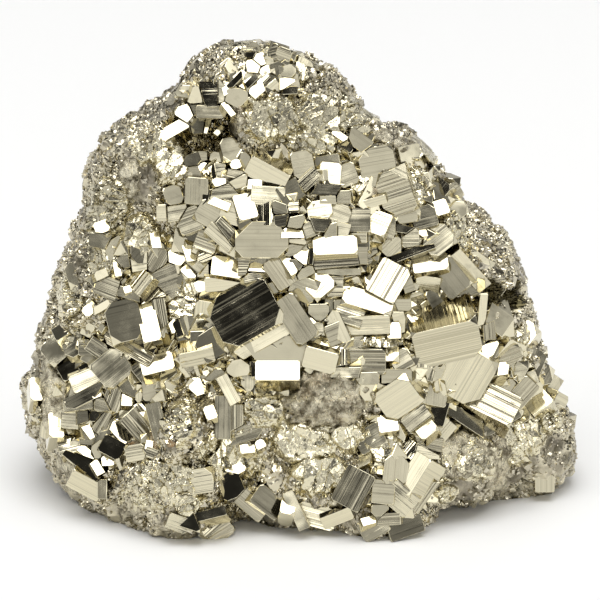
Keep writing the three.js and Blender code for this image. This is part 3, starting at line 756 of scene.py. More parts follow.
FACINGS = {  # degrees that a face is turned up and to the right, by the light that it then catches
    "white": [(27, 2), (24, -5), (30, 8)],
    "pale": [(4, -3), (-2, -12)],
    "light": [(4, 4), (-24, 4)],
    "tan": [(-6, -6), (-9, 8)],
    "grey": [(6, 2), (-9, 10)],
    "umber": [(5, -7), (2, 14)],
    "dark": [(10, 25), (-4, 16)],
    "black": [(12, -12), (14, -10)],
    "streaked": [(18, -9), (17, -15)],
    "glare": [(26, 2), (24, -6), (24, 9), (18, -16), (-8, 0)],
}
LITTLE = [  # across, up the face, width, height, spin, the light it catches, cut, ribbing; mm, degrees
    # round the summit
    (-18.9, 62, 2.4, 2.2, 20, "white", 0.5, 0.2),
    (-20.5, 59.6, 3.6, 1.5, 30, "white", 0.2, 0.2),
    (-17.1, 62.8, 2, 2.2, 10, "umber", 0.2, 0.2),
    (-14.9, 65.2, 3.6, 3, 0, "black", 0.2, 0.35),
    (-12.9, 65.2, 1.4, 2.8, -8, "pale", 0.2, 0.2),
    (-17.2, 64.6, 1.6, 2.6, -20, "light", 0.4, 0),
    (-12, 62.8, 0.7, 2.4, 35, "white", 0.1, 0),
    (-15.5, 60.2, 0.7, 2.2, -15, "white", 0.1, 0),
    (-16.9, 60.4, 2.2, 2.4, 0, "umber", 0.6, 0.2),
    (-13.4, 59.2, 0.7, 1.4, -40, "white", 0.1, 0),
    (-10.8, 64.8, 3, 3, 0, "light", 0.9, 0),
    (-11.7, 66.1, 2.6, 1, 42, "white", 0.1, 0.2),
    (-11, 67, 3, 0.7, 45, "black", 0.1, 0),
    (-9.5, 67.3, 2.2, 2.4, 40, "white", 0.2, 0.3),
    (-7.9, 67.2, 2.6, 0.9, 45, "black", 0.1, 0),
    (-6.9, 66.2, 2.6, 1.7, 45, "white", 0.1, 0.5),
    (-6.2, 67.7, 2, 1.1, 45, "streaked", 0.1, 1.2),
    (-4.8, 66.9, 2.4, 2.8, 45, "dark", 0.2, 0.3),
    (-2.5, 66.9, 2.4, 1.4, 15, "white", 0.3, 0),
    (-1.7, 65.7, 1.8, 0.9, 0, "black", 0.2, 0),
    (-4.6, 71.6, 2.2, 2.6, 15, "pale", 0.3, 1.2),
    (-2.9, 71.5, 1.8, 2, -20, "pale", 0.4, 1),
    (-6.7, 70.9, 1.4, 1.6, 20, "white", 0.3, 0),
    (-8.2, 71.7, 1.3, 0.6, 0, "black", 0.1, 0),
    (-5.6, 69, 1.7, 1.3, 30, "white", 0.2, 0.2),
    (-3.9, 69.4, 2.4, 1.6, 45, "umber", 0.2, 0.2),
    (-2.2, 68.8, 2, 1.7, 0, "pale", 0.7, 0),
    (-7.7, 69.7, 1.6, 1.8, 10, "white", 0.4, 0.6),
    # below the hollow
    (-11.3, 56.2, 2.6, 2.6, 15, "white", 0.9, 0),
    (-13, 54.5, 2.8, 1.3, -10, "pale", 0.5, 0),
    (-16.7, 54.9, 1.7, 1.2, 0, "light", 0.2, 0.5),
    (-17.9, 54.2, 2, 1.5, 20, "dark", 0.2, 0),
    (-13.2, 52.5, 1.5, 2.3, 10, "dark", 0.2, 0.3),
    (-14.3, 52.3, 0.6, 2.2, 10, "black", 0.1, 0),
    (-13.4, 50.7, 1.6, 1.3, 0, "white", 0.3, 0.2),
    (-16, 52.7, 1.7, 1.7, 30, "white", 0.5, 0),
    (-17.6, 52, 3, 2, 0, "tan", 0.3, 0.3),
    (-10.7, 53.5, 1.2, 1.2, 20, "white", 0.4, 0),
    (-11, 52, 2.2, 1.1, -15, "pale", 0.1, 0.6),
    (-10.2, 50.5, 2.2, 1.5, 10, "light", 0.2, 0.3),
    (-7.6, 50.2, 1.8, 1.2, 0, "white", 0.2, 0),
    (-15.6, 49.3, 0.8, 3.6, 0, "black", 0.1, 0),
    (-12.5, 48.4, 3.4, 2.5, 5, "pale", 0.2, 0.9),
    (-13.4, 47, 2.6, 1, -25, "white", 0.1, 0),
    (-20.6, 45.5, 2.6, 1.9, 10, "pale", 0.3, 0.3),
    (-22.8, 45.4, 1.3, 2, 0, "light", 0.3, 0.5),
    (-21, 48.4, 2, 2.2, 20, "light", 0.4, 0.2),
    (-18.4, 44.2, 2.8, 2.8, 20, "pale", 0.2, 0.6),
    (-12, 42.4, 3.2, 1.7, -40, "dark", 0.1, 1),
    (-13.3, 41.4, 3.6, 1.5, -40, "pale", 0.1, 0.4),
    (-9.1, 43.8, 1.8, 1.4, 10, "tan", 0.2, 0.2),
    (-6.2, 45.4, 3, 2.8, 90, "streaked", 0.1, 1),
    (-3.2, 46, 2.2, 1.4, -20, "tan", 0.3, 0.3),
    (-3, 44.4, 1.8, 1.8, 10, "dark", 0.3, 0.4),
    (-1.3, 46.4, 1.5, 1.4, 0, "streaked", 0.1, 1.4),
    (-0.7, 43.8, 2.2, 1.4, 10, "tan", 0.2, 0.2),
    (-1, 41.9, 2.8, 1.6, -5, "white", 0.1, 0.3),
    (-1, 40.7, 2.8, 1, -5, "pale", 0.1, 0.3),
    (1.5, 42.6, 1.9, 1.7, 20, "tan", 0.3, 0.2),
    (1.5, 51, 2.6, 1.7, 40, "streaked", 0.1, 1.4),
    (4.5, 54, 2.8, 1.4, 10, "tan", 0.3, 0),
    (4.9, 49.1, 4, 1.4, -5, "dark", 0.1, 0.6),
    (4.9, 47.8, 2.2, 1.2, 0, "light", 0.2, 0.2),
    (7, 48, 2, 1.5, 0, "grey", 0.2, 0.3),
    (3.5, 43.4, 3.2, 1.5, 0, "dark", 0.2, 0.4),
    (9.3, 41.8, 2.4, 1.8, 0, "pale", 0.2, 0.6),
    (7.3, 42.4, 2, 1.8, -10, "pale", 0.3, 0.2),
    (5.2, 42.4, 1.8, 1.6, 15, "tan", 0.2, 0.2),
    (15, 43, 1.4, 2.6, -20, "tan", 0.1, 0.5),
    (12.2, 47.2, 3, 1.1, 15, "light", 0.2, 0.3),
    (12.9, 53.2, 4, 4.4, 10, "grey", 0.4, 0.3),
    (6.8, 58.2, 2.2, 0.9, -35, "white", 0.2, 0),
    (9.7, 57.5, 3, 1.8, -35, "light", 0.2, 0.3),
    (7.8, 56.6, 1.6, 1, -35, "black", 0.2, 0),
    (17.6, 44.9, 2.6, 1.5, 10, "light", 0.3, 0.2),
    (23.5, 46.5, 1.7, 1.9, 20, "white", 0.3, 0.2),
    (18.4, 41.2, 1.9, 2.4, 0, "pale", 0.4, 0.6),
    (18.8, 39, 5, 0.9, 18, "black", 0.1, 0.6),
    (10.4, 38.4, 1.2, 2, 0, "light", 0.1, 0.6),
    (17.2, 42.9, 3, 1, -10, "black", 0.3, 0),
    # the upper left
    (-26.6, 37.8, 2.8, 2.6, 10, "pale", 0.4, 0.2),
    (-24, 37.8, 3, 2.4, 60, "pale", 0.3, 1.3),
    (-33, 43.2, 1.7, 1.5, 20, "white", 0.4, 0),
    (-24, 41, 1.1, 2.8, 10, "white", 0.2, 0),
    (-33.2, 41, 2.6, 1.9, -10, "tan", 0.3, 0.3),
    (-30.6, 39.6, 2.5, 2.2, 30, "grey", 0.4, 0),
    (-29.2, 37.4, 1.5, 1.5, 10, "tan", 0.3, 0.2),
    (-30.4, 36.2, 0.8, 1.9, 10, "white", 0.2, 0),
    (-33, 35.1, 1.5, 1.3, 20, "pale", 0.3, 0),
    (-32, 33, 3, 2.4, -20, "pale", 0.2, 1),
    (-28.7, 32.8, 0.9, 0.9, 20, "white", 0.2, 0),
    (-35.3, 29.3, 1.3, 1.3, 40, "white", 0.4, 0),
    (-33.2, 29.7, 2.4, 0.9, 30, "pale", 0.1, 0),
    (-25.1, 32.2, 3.4, 1.4, 48, "streaked", 0.1, 1.5),
    (-28.3, 32, 3.6, 1.2, -15, "tan", 0.1, 0.5),
    (-23.3, 28.8, 5, 1.5, 100, "pale", 0.1, 1.2),
    (-23.8, 32.2, 1.7, 1.4, 20, "streaked", 0.1, 1.4),
    (-29.9, 23.8, 8.4, 1.6, -32, "streaked", 0.1, 1.6),
    (-27.6, 24.6, 5.6, 0.8, -32, "black", 0.1, 0.4),
    (-33.2, 22.5, 3.4, 1.8, -35, "tan", 0.1, 0.4),
    (-19, 26.2, 2.6, 3, 20, "umber", 0.3, 0),
    (-21.1, 26.7, 0.9, 1.8, 20, "white", 0.1, 0),
    (-20.3, 26.4, 0.8, 2.1, 20, "black", 0.1, 0),
    (-20.5, 38.1, 2.4, 2, 0, "white", 0.4, 0.3),
    (-18.2, 38.9, 2.4, 2.2, 20, "white", 0.3, 0.4),
    (-18.2, 36.1, 2.2, 2.2, 0, "white", 0.8, 0),
    (-16.4, 33.4, 1.5, 1.4, 20, "white", 0.3, 0),
    (-16.3, 36, 1.6, 1.8, 0, "pale", 0.3, 0.5),
    (-16, 38.4, 1.8, 1.5, 20, "streaked", 0.2, 1.4),
    (-21.8, 34.4, 3.8, 4.2, 20, "tan", 0.4, 0.6),
    (-9.2, 37, 1.4, 2.6, 0, "pale", 0.2, 1),
    # round the big block
    (-13.6, 24.3, 5, 3.2, 33, "umber", 0.2, 0.2),
    (-8.2, 38.2, 3, 0.9, 0, "tan", 0.1, 0),
    (-7.3, 36.4, 2.4, 1.6, 5, "white", 0.2, 0.3),
    (-7.4, 34.9, 2.9, 1, 15, "dark", 0.1, 0.3),
    (-1.7, 36.9, 1.1, 2.6, 30, "white", 0.1, 0),
    (-4.4, 33, 1.7, 1.3, 20, "tan", 0.2, 0),
    (-1.2, 39.3, 4, 1.3, 15, "tan", 0.3, 0.3),
    (0.4, 38.1, 2, 1.8, 0, "white", 0.2, 0.3),
    (1.8, 37.9, 0.8, 2.3, -15, "black", 0.1, 0),
    (-0.6, 36.8, 1.6, 1.2, 0, "tan", 0.2, 0.2),
    (1.2, 35.7, 2.4, 1.1, 25, "grey", 0.1, 0.3),
    (5.8, 37.4, 7.2, 1.8, 3, "pale", 0.1, 1.3),
    (6, 35.6, 5.6, 0.8, 0, "tan", 0.1, 0),
    (5.8, 33.8, 1.8, 3, 0, "pale", 0.2, 0.6),
    (3.1, 28.7, 2.4, 2.2, 0, "grey", 0.3, 0.3),
    (2.6, 26.3, 1.7, 2, 0, "pale", 0.3, 0.3),
    (6, 26.8, 4.4, 1.8, 115, "pale", 0.1, 0.2),
    (6.7, 30, 1.5, 1.4, 0, "tan", 0.2, 0),
    (12.8, 29, 3.6, 1.6, -18, "pale", 0.1, 1.1),
    (15.6, 26, 1.6, 2, 0, "white", 0.3, 0.3),
    (16.6, 27.4, 1.4, 2.8, 15, "light", 0.2, 0.3),
    (-3.9, 22.8, 6.8, 3.2, 0, "grey", 0.5, 0),
    (-7.8, 19.9, 0.7, 2.2, 0, "black", 0.1, 0),
    (4.4, 23.6, 3, 2.2, -40, "white", 0.1, 0.9),
    (6.8, 21.5, 2, 1.4, 90, "streaked", 0.1, 1.3),
    (7.3, 19, 4, 1.2, 0, "tan", 0.1, 0.3),
    (-10, 19.8, 3, 1.9, 10, "pale", 0.7, 0),
    (16.6, 30, 2.6, 1.6, 0, "grey", 0.2, 0.3),
    (11.4, 18, 2.4, 1.4, 0, "grey", 0.4, 0),
    (16, 18.4, 3.4, 1.6, 0, "grey", 0.2, 0.3),
    (2, 27.5, 0.9, 0.9, 0, "white", 0.4, 0),
    (-7.2, 23.7, 8.6, 1.6, 29, "pale", 0.1, 0.2),
    # round the largest block and down the right side
    (28.3, 35.8, 5.6, 1.8, -50, "light", 0.1, 0.3),
    (17.7, 34.3, 1.3, 2.8, 20, "light", 0.2, 0.5),
    (30.4, 28.6, 0.9, 5, -4, "light", 0.1, 0),
    (33.2, 27.6, 3.4, 4.6, 10, "light", 0.9, 0),
    (31.6, 26, 3, 1.4, 95, "tan", 0.2, 1),
    (31.8, 22.8, 2.4, 1.6, 30, "white", 0.2, 0),
    (34.4, 21.5, 3.8, 3.6, 20, "tan", 0.6, 1.4),
    (33.7, 19.3, 2.2, 1.3, 10, "white", 0.4, 0),
    (36.6, 18.9, 2.6, 2.2, 10, "pale", 0.6, 0.2),
    (38.7, 17.8, 1.7, 1.5, 20, "tan", 0.3, 0),
    (18.1, 26.8, 3.4, 1, -50, "black", 0.1, 0),
    (18.8, 27.3, 3.2, 0.6, -50, "white", 0.1, 0),
    (33.4, 10.8, 5.2, 2, 30, "umber", 0.1, 0.4),
    (28.2, 10.8, 5.6, 1.5, -28, "dark", 0.1, 0.3),
    (22, 12.6, 3.8, 2.8, -20, "black", 0.2, 0.3),
    (20.4, 2.2, 3.4, 1.5, 58, "umber", 0.1, 0.5),
    (18.4, 6.2, 1.9, 1.7, 50, "streaked", 0.1, 1.5),
    (20.6, 5.6, 3.6, 1.4, -10, "pale", 0.1, 0.3),
    (21.4, 7.1, 3.4, 1.5, -12, "tan", 0.1, 1.2),
    (11.5, 8, 3.2, 2.6, 30, "umber", 0.2, 0.3),
    (20.3, -1, 4.6, 2.2, 55, "tan", 0.1, 1.1),
    (11.4, -5.6, 1.7, 1, 20, "white", 0.1, 0),
    (14.6, -5.4, 2.8, 1.4, 5, "pale", 0.1, 1.1),
    (13.3, -3.9, 2, 1.3, 0, "light", 0.4, 0),
    (-1.9, -3, 1.7, 2.4, -10, "white", 0.5, 0),
    (-0.7, -4, 4.6, 1.3, 115, "tan", 0.1, 0),
    (6.2, -5.3, 3.6, 1.6, 22, "light", 0.2, 0.2),
    (-8, -2.8, 4, 2.6, -40, "light", 0.2, 0.7),
    # the lower left
    (-38.4, 19.6, 3, 2, 30, "black", 0.2, 0.5),
    (-36, 14.9, 5, 1.5, 26, "umber", 0.1, 0.3),
    (-44.6, 16, 1.4, 3, 5, "white", 0.4, 0),
    (-34.2, 15.4, 1.3, 1.5, 0, "white", 0.3, 0),
    (-36.4, 13.3, 4.4, 1.5, 8, "tan", 0.2, 0.3),
    (-33.4, 13.3, 2.8, 1.8, -15, "tan", 0.2, 0.9),
    (-31.3, 14.4, 3, 2.2, 70, "pale", 0.2, 1.1),
    (-28.2, 16.4, 3.4, 2.8, -40, "umber", 0.2, 0.2),
    (-29.2, 14.3, 1.6, 1.5, 0, "white", 0.3, 0.3),
    (-25, 16.6, 2.8, 3.4, 15, "light", 0.4, 0.2),
    (-36.2, 11.3, 1.6, 2.2, 0, "umber", 0.2, 0.3),
    (-41, 10, 1.7, 3.2, 5, "white", 0.4, 0.2),
    (-35.6, 9.4, 1.1, 2.8, 35, "white", 0.1, 0),
    (-35.3, 7.8, 2.4, 2, 0, "pale", 0.3, 0.4),
    (-34.6, 11.5, 1.8, 1.2, 0, "black", 0.2, 0),
    (-33.2, 10.3, 4, 2, 60, "light", 0.1, 1),
    (-32.2, 4.2, 1.6, 1.3, 0, "white", 0.3, 0),
    (-33.9, 6, 1.4, 2.8, -15, "light", 0.2, 0),
    (-30, 9, 1.6, 3, 40, "white", 0.2, 0.2),
    (-31.3, 9.7, 1.6, 1.6, 0, "umber", 0.3, 0),
    (-25.2, 11.4, 4.8, 1, -50, "white", 0.1, 0.2),
    (-23.6, 10.4, 4.8, 1.8, 105, "tan", 0.3, 0.4),
    (-36.2, 3.6, 5.4, 1.6, -40, "black", 0.1, 0.4),
    (-35.6, 5.3, 2.4, 1.1, -40, "white", 0.1, 0),
    (-33.9, 3.1, 1.1, 2, 30, "white", 0.1, 0),
    (-33, -0.6, 2.2, 1.1, 90, "pale", 0.2, 1),
    (-27.3, 5.6, 2.4, 1.9, 10, "pale", 0.4, 0.8),
    (-24.4, 5.5, 1.8, 1.2, -20, "pale", 0.3, 0.6),
    (-17, 1, 3.6, 2.8, 10, "pale", 0.4, 0.5),
    (-10.6, 11.5, 3, 1.6, 90, "pale", 0.2, 1.2),
    (-14.8, 12.5, 1.3, 1.7, 20, "white", 0.3, 0),
    (-9.2, 8.9, 4, 2.4, 20, "tan", 0.4, 0.8),
    (-8.5, 6.5, 2, 1.3, 10, "white", 0.4, 0),
    (-6.7, 7.1, 1.3, 1.1, 30, "white", 0.4, 0),
    (-11, 3.4, 2.2, 2.2, 30, "white", 0.4, 0.2),
    (-11.6, 0.6, 2.6, 3.6, 20, "black", 0.4, 0),
    (-15.6, -4.6, 4.6, 1.1, 12, "black", 0.2, 0),
    (-18.2, -5.6, 2.8, 1.8, -20, "black", 0.3, 0),
    (-20.2, -6, 2.5, 1.8, -20, "tan", 0.3, 0.3),
]
LITTLE_GROWTH = 1.5  # how much further each would grow if its neighbours let it
LITTLE_DEPTH = 0.7  # how deep, as a share of its width and height together
LITTLE_TURN = 1.5  # degrees that each may turn away from its light, up or down
NEIGHBOURHOOD = 8  # mm within which two may meet
LEAST_MEETING, MOST_MEETING = 0.6, 1.5  # and how near and how far, as a share of its own reach
LITTLE_GAP = 0.07  # mm between each and the plane where it meets a neighbour
LITTLE_RISE = 0.3, 1.0  # mm, the least and the most that each stands out
SLIVER, SLIVER_RISE = 2, 0.7  # those narrower than this stand out this much more
CROWD_TRIES = 9000
CROWD_ACROSS, CROWD_UP = (-42, 44), (-8, 74)  # mm on the face, where they are tried
CROWD_EDGE = 0.15  # how uneven the edge of a crowded part is
CROWD_LEAN = 24  # degrees that they lean off the face, most of them less
CROWD_DEEP = 0.75, 1.15  # how deep the middle lies, as a share of the half size
SIZE_SPREAD = 0.7, 1.2  # how unlike a crystal's three sizes are
CROWD_SIZES = [  # how many, smallest and largest in mm, how far apart for their size, and how sunk
    (650, 3, 5.4, 0.42, 0.5),
    (500, 1.6, 3, 0.7, 0.1),
]
LEAST_FRONT = 0.33  # and where the ore turns away to the side there are none of them
FIRST_NUMBER = 1000  # they are numbered from here, and the cuts and ribs of each come from its number
BACK_TRIES = 1500  # and round the back, where they grow here and there in clumps
BACK_SIZES = 1, 4.4
BACK_CLUMP, CLUMPED = 11, 0.12  # mm across a clump and its neighbouring gap, and how wide the gaps are
BACK_SUNK, BACK_APART = (0.3, 1), 0.6  # how deep and how far apart, as shares of the half size
BACK_FOOT = 3  # mm off the ground
BACK_TURN = 0.2  # for each mm of its size a crystal keeps further round, out of the front's outline
CLEAN = 0.3  # new crystals keep off ore more tarnished than this


def laid(up, right, spin):
    """Rows are the axes of a crystal whose front is turned up and right, and is spun in its own plane."""
    m = Euler((math.radians(-up), 0, 0)).to_matrix() @ Euler((0, math.radians(right), 0)).to_matrix()
    m = m @ Euler((0, 0, math.radians(spin))).to_matrix()
    return np.array(m).T @ np.array([ACROSS, UP_FACE, OUT_FACE])


def small_crystal(half, index):
    """A small block with cut corners, and now and then a slanting face along an edge."""
    cut = 0.1 + 0.75 * uneven(index * 3.7)
    gone = [cut * half.min() * (0.4 + 1.6 * uneven(index * 8.3 + k)) for k in range(8)]
    cuts = corner_cuts(half, gone)
    for n in range(int(4 * uneven(index * 5.1))):
        way = np.array([2.0, 1.0, 0.0])[[(n + index) % 3, (n + index + 1) % 3, (n + index + 2) % 3]]
        way *= SIGNS[(index * 5 + n * 3) % 8]
        way /= np.linalg.norm(way)
        cuts.append((way, (np.abs(way) @ half) * (0.78 + 0.17 * uneven(index + n * 2.9))))
    return cut_box(half, cuts)


def reach_along(row, way):
    """How far a listed crystal's front reaches from its middle, along a way on the leaning face."""
    spin = math.radians(row[4])
    along_width = abs(way @ (math.cos(spin), math.sin(spin)))
    along_height = abs(way @ (-math.sin(spin), math.cos(spin)))
    return (row[2] * along_width + row[3] * along_height) / 2


def contacts(row, seat, centre, axes):
    """Planes at which a listed crystal meets its neighbours, each as cut_box takes them."""
    planes = []
    for other in LITTLE:
        apart = np.subtract(other[:2], row[:2])
        away = np.linalg.norm(apart)
        if not 0 < away < NEIGHBOURHOOD:
            continue
        mine, theirs = reach_along(row, apart / away), reach_along(other, apart / away)
        meeting = away * mine / (mine + theirs) - LITTLE_GAP
        if LEAST_MEETING * mine < meeting < MOST_MEETING * LITTLE_GROWTH * mine:
            way = apart[0] / away * ACROSS + apart[1] / away * UP_FACE
            planes.append((axes @ way, (seat + way * meeting - centre) @ way))
    return planes


seats, _ = seats_on_face(*np.array([row[:2] for row in LITTLE], float).T)
made = []
for index, (row, seat) in enumerate(zip(LITTLE, seats)):
    x, v, width, height, spin, light, cut, ribbing = row
    up, right = FACINGS[light][index % len(FACINGS[light])]
    half = LITTLE_GROWTH * np.array([width, height, LITTLE_DEPTH * width + LITTLE_DEPTH * height]) / 2
    up += 2 * LITTLE_TURN * uneven(index) - LITTLE_TURN
    right += 2 * LITTLE_TURN * uneven(index + 50) - LITTLE_TURN
    axes = laid(up, right, spin)
    rise = LITTLE_RISE[0] + (LITTLE_RISE[1] - LITTLE_RISE[0]) * uneven(index * 1.7)
    rise += SLIVER_RISE * (min(width, height) < SLIVER)
    centre = seat + OUT_FACE * (rise + standing(x, v)) - axes[2] * half[2]
    gone = [cut * half.min() * (0.5 + uneven(index * 8 + k)) for k in range(8)]
    shape = cut_box(half, corner_cuts(half, gone) + contacts(row, seat, centre, axes))
    made.append((crystal_corners(shape, axes, ribbing, 5.3 * index), axes, centre))
    shape.free()

taken, taken_half = np.empty((0, 3)), np.empty(0)  # the middles and half sizes of those placed so far


def too_close(centre, half_size, apart):
    """Whether a crystal would stand too close to one placed before it."""
    return (np.linalg.norm(taken - centre, axis=1) < apart * (taken_half + half_size)).any()


index = FIRST_NUMBER
for wanted, smallest, largest, apart, sunk in CROWD_SIZES:
    spots = np.column_stack([rng.uniform(*ends, CROWD_TRIES) for ends in (CROWD_ACROSS, CROWD_UP)])
    spots = spots[inside_ovals(*spots.T, CROWDED) > rng.uniform(-CROWD_EDGE, CROWD_EDGE, len(spots))]
    seats, met = seats_on_face(spots[:, 0], spots[:, 1])
    seats = seats[met]
    sizes = rng.uniform(smallest, largest, len(seats))[:, None]
    halves = sizes * rng.uniform(*SIZE_SPREAD, (len(seats), 3)) / 2
    mean = halves.mean(axis=1)
    rise = -rng.uniform(*CROWD_DEEP, len(seats)) * mean - sunk
    centres = seats + OUT_FACE * rise[:, None]
    clear = tarnish_at(centres) < CLEAN
    fronts = skin_ways_out(seats) @ OUT_FACE > LEAST_FRONT
    kept = 0
    for centre, half, ok, front in zip(centres, halves, clear, fronts):
        if not ok or kept >= wanted:
            continue
        if too_close(centre, half.mean(), apart):
            continue
        taken = np.vstack([taken, centre])
        taken_half = np.append(taken_half, half.mean())
        axes = turned_by(rng.uniform(0, 90), rng.normal(0, CROWD_LEAN), rng.normal(0, CROWD_LEAN))
        shape = small_crystal(half, index)
        ribbing = max(0, uneven(index * 2.3) * 1.6 - 0.8)
        if front:
            made.append((crystal_corners(shape, axes, ribbing, 7.7 * index % 997), axes, centre))
        shape.free()
        kept += 1
        index += 1

spots = smooth_skin[rng.choice(len(smooth_skin), BACK_TRIES, replace=False)]
ways = skin_ways_out(spots)
for spot, way in zip(spots, ways):
    size = BACK_SIZES[0] + (BACK_SIZES[1] - BACK_SIZES[0]) * rng.random() ** 2
    half = size * rng.uniform(*SIZE_SPREAD, 3) / 2
    clumped = noise.noise(Vector(spot) / BACK_CLUMP) > CLUMPED
    if not clumped or way @ OUT_FACE > -BACK_TURN * size or spot[2] < BACK_FOOT:
        continue
    centre = spot - way * half.mean() * rng.uniform(*BACK_SUNK)
    if too_close(centre, half.mean(), BACK_APART):
        continue
    taken = np.vstack([taken, centre])
    taken_half = np.append(taken_half, half.mean())
    axes = turned_by(*rng.uniform(0, 360, 3))
    shape = small_crystal(half, index)
    made.append((crystal_corners(shape, axes, 1.4 * uneven(index * 2.3), 7.7 * index % 997), axes, centre))
    shape.free()
    index += 1
join_crystals("small_crystals", made, pyrite)

# ---------------------------------------------------------------- the broken faces
# Where crystals snapped off, the ore shows uneven breaks of many small chips. The chips of one break all
# face nearly the same way, so it flashes like a broken mirror, full of small dark pits.

BROKEN = [  # across, up the face, width, height, size of the chips, the lights they catch
    # up the left side
    (-27, 41.5, 6, 6.4, 0.9, "bright"),
    (-21, 53.6, 5.4, 6.6, 1.1, "bright"),
    (-19, 29.8, 7, 5, 1.1, "bright"),
    (-18.2, 33, 3, 3, 1, "bright"),
    (-29, 21.9, 3, 3, 1, "bright"),
    (-31.5, 47, 7, 9, 0.8, "dull"),
    (-38.6, 31, 4, 7, 0.8, "dull"),
    (-33, 38, 5, 6, 0.8, "dull"),
    (-38, 24, 4, 6, 0.7, "dull"),
    # the summit and the upper right
    (-25, 57, 8, 6, 0.9, "dull"),
    (-9, 73, 9, 4.4, 0.8, "dull"),
    (0, 70, 8, 5, 0.9, "dull"),
    (-5, 61.5, 10, 7, 0.8, "sparkling"),
    (4, 62, 9, 7, 0.9, "sparkling"),
    (2, 57, 9, 5, 0.9, "sparkling"),
    (9.5, 61, 6, 6, 1, "dull"),
    (11, 50.2, 4.6, 4.2, 0.9, "bright"),
    (19.2, 55.8, 3, 2.4, 1, "bright"),
    (21.9, 55.4, 2.4, 2.8, 1, "bright"),
    (19.5, 49.5, 6, 7, 0.8, "sparkling"),
    (26, 41.5, 5, 7, 0.7, "dull"),
    # across the middle
    (13.6, 24.2, 7.4, 2.4, 0.7, "salted"),
    (19, 22, 2.4, 4.4, 1, "dull"),
    (36.8, 24.8, 3.4, 3.6, 1, "bright"),
    # low down
    (-21, 11, 7.4, 8, 0.7, "salted"),
    (-11, 5.5, 9, 7, 0.8, "sparkling"),
    (-23, 0.5, 12, 8, 0.8, "dull"),
    (-18.6, -3, 5, 4, 0.8, "salted"),
    (-6.4, 13, 7, 5, 1, "dull"),
    (0.6, 7.4, 9.6, 6.6, 1, "bright"),
    (7.6, 8.4, 7, 4.6, 1, "bright"),
    (3.6, 2, 9, 6.4, 1, "bright"),
    (14.6, 6.4, 6, 5.4, 1, "bright"),
    (24.4, -1.6, 4, 3, 0.8, "bright"),
    (23.6, 3, 4, 5, 0.7, "salted"),
    (29.5, 4.4, 7, 7, 0.8, "dull"),
    (36.4, 7.6, 5, 8, 1, "dull"),
    (39, 8.8, 5, 7, 0.7, "bright"),
    (42.6, 11, 3.4, 5, 0.7, "salted"),
    (-44.8, 12, 2.4, 4, 0.9, "sparkling"),
]
CHIP_LIGHTS = {  # the share of the chips that catch each light
    "bright": [("glare", 0.72), ("pale", 0.06), ("tan", 0.08), ("dark", 0.08), ("black", 0.06)],
    "sparkling": [("glare", 0.24), ("pale", 0.12), ("tan", 0.24), ("grey", 0.14), ("umber", 0.16),
                  ("dark", 0.1)],
    "salted": [("glare", 0.36), ("pale", 0.16), ("tan", 0.2), ("black", 0.18), ("umber", 0.1)],
    "dull": [("glare", 0.1), ("light", 0.08), ("tan", 0.24), ("grey", 0.2), ("umber", 0.22),
             ("dark", 0.16)],
}
CHIP_CROWDING = 1.4  # how many more chips than would just fill a break
CHIP_LEAN = 0.06  # how unevenly they face
CHIP_STEP = 0.06  # mm up or down from one to the next
SLENDER = 1.8  # how many times longer than wide the chips are
BREAK_STEP = 0.17  # mm between the points of a break
BREAK_RISE = 0.5  # mm that a break stands above the heap
PATCH_REACH = 1.3  # times its own size, how far a patch runs on below the surface
PIT_SHARE, PIT_DEPTH = 0.08, 0.4
RAGGED = 0.35  # how uneven the outline of a patch is
MOST_UNEVEN = 1.1  # mm that a break stands above or below its own mean
BREAK_SINK, BREAK_RIM = 3, 0.85  # how steeply it dives into the ore, and from where in its outline
SIDE_SINK, SIDE_FROM = 6, 0.5  # and where the ore turns away to the side
LEAST_SQUARELY = 0.15  # and where it ends

snapped, tree, shader = new_material("snapped pyrite")
sparkle = group_in(tree, glitter, Cell=0.26, Tilt=1.1, Spread=4)
tarnished_and_shaded = group_in(tree, tarnished, Colour=BRIGHT_PYRITE)
rough = spread(tree, sparkle.outputs["Chance"], 0, 1, 0.06, 0.25)
finish(tree, shader, tarnished_and_shaded.outputs["Colour"], sparkle.outputs["Normal"], rough)


def patch(x, v, width, height, step):
    """A grid of places on the leaning face, how far each is out from the middle, and the grid's faces."""
    across_count, up_count = round(PATCH_REACH * width / step), round(PATCH_REACH * height / step)
    xs, ys = np.meshgrid(np.linspace(-1, 1, across_count + 1), np.linspace(-1, 1, up_count + 1))
    xs, ys = xs.ravel() * PATCH_REACH, ys.ravel() * PATCH_REACH
    places = np.column_stack([x + xs * width / 2, v + ys * height / 2])
    ragged = [noise.noise(Vector((*p, 3.1 * x))) + 0.5 * noise.noise(Vector((*p, 5.3 * v)) * 2.3)
              for p in places * 0.45]
    rim = np.hypot(xs, ys) + RAGGED * np.array(ragged)
    first = (np.arange(up_count)[:, None] * (across_count + 1) + np.arange(across_count)[None]).ravel()
    quads = np.column_stack([first, first + 1, first + across_count + 2, first + across_count + 1])
    return places, rim, quads


def on_face(places, out):
    """Points in space from places on the leaning face and how far out of it they are."""
    return places[:, :1] * ACROSS + places[:, 1:] * UP_FACE + out[:, None] * OUT_FACE


def skin_under(places):
    """How far out the skin is at places on the leaning face, and how squarely it faces the front there."""
    seats, met = seats_on_face(*places.T)
    squarely = np.where(met, skin_ways_out(seats) @ OUT_FACE, -1)
    return seats @ OUT_FACE + standing(*places.T), squarely


def kept_faces(points, rim, squarely, quads):
    """The points and faces of a patch within its rim, as far as the skin under it faces the front."""
    quads = quads[(rim[quads] < PATCH_REACH).any(axis=1) & (squarely[quads] > LEAST_SQUARELY).all(axis=1)]
    used, renumbered = np.unique(quads, return_inverse=True)
    return points[used], renumbered.reshape(-1, 4)


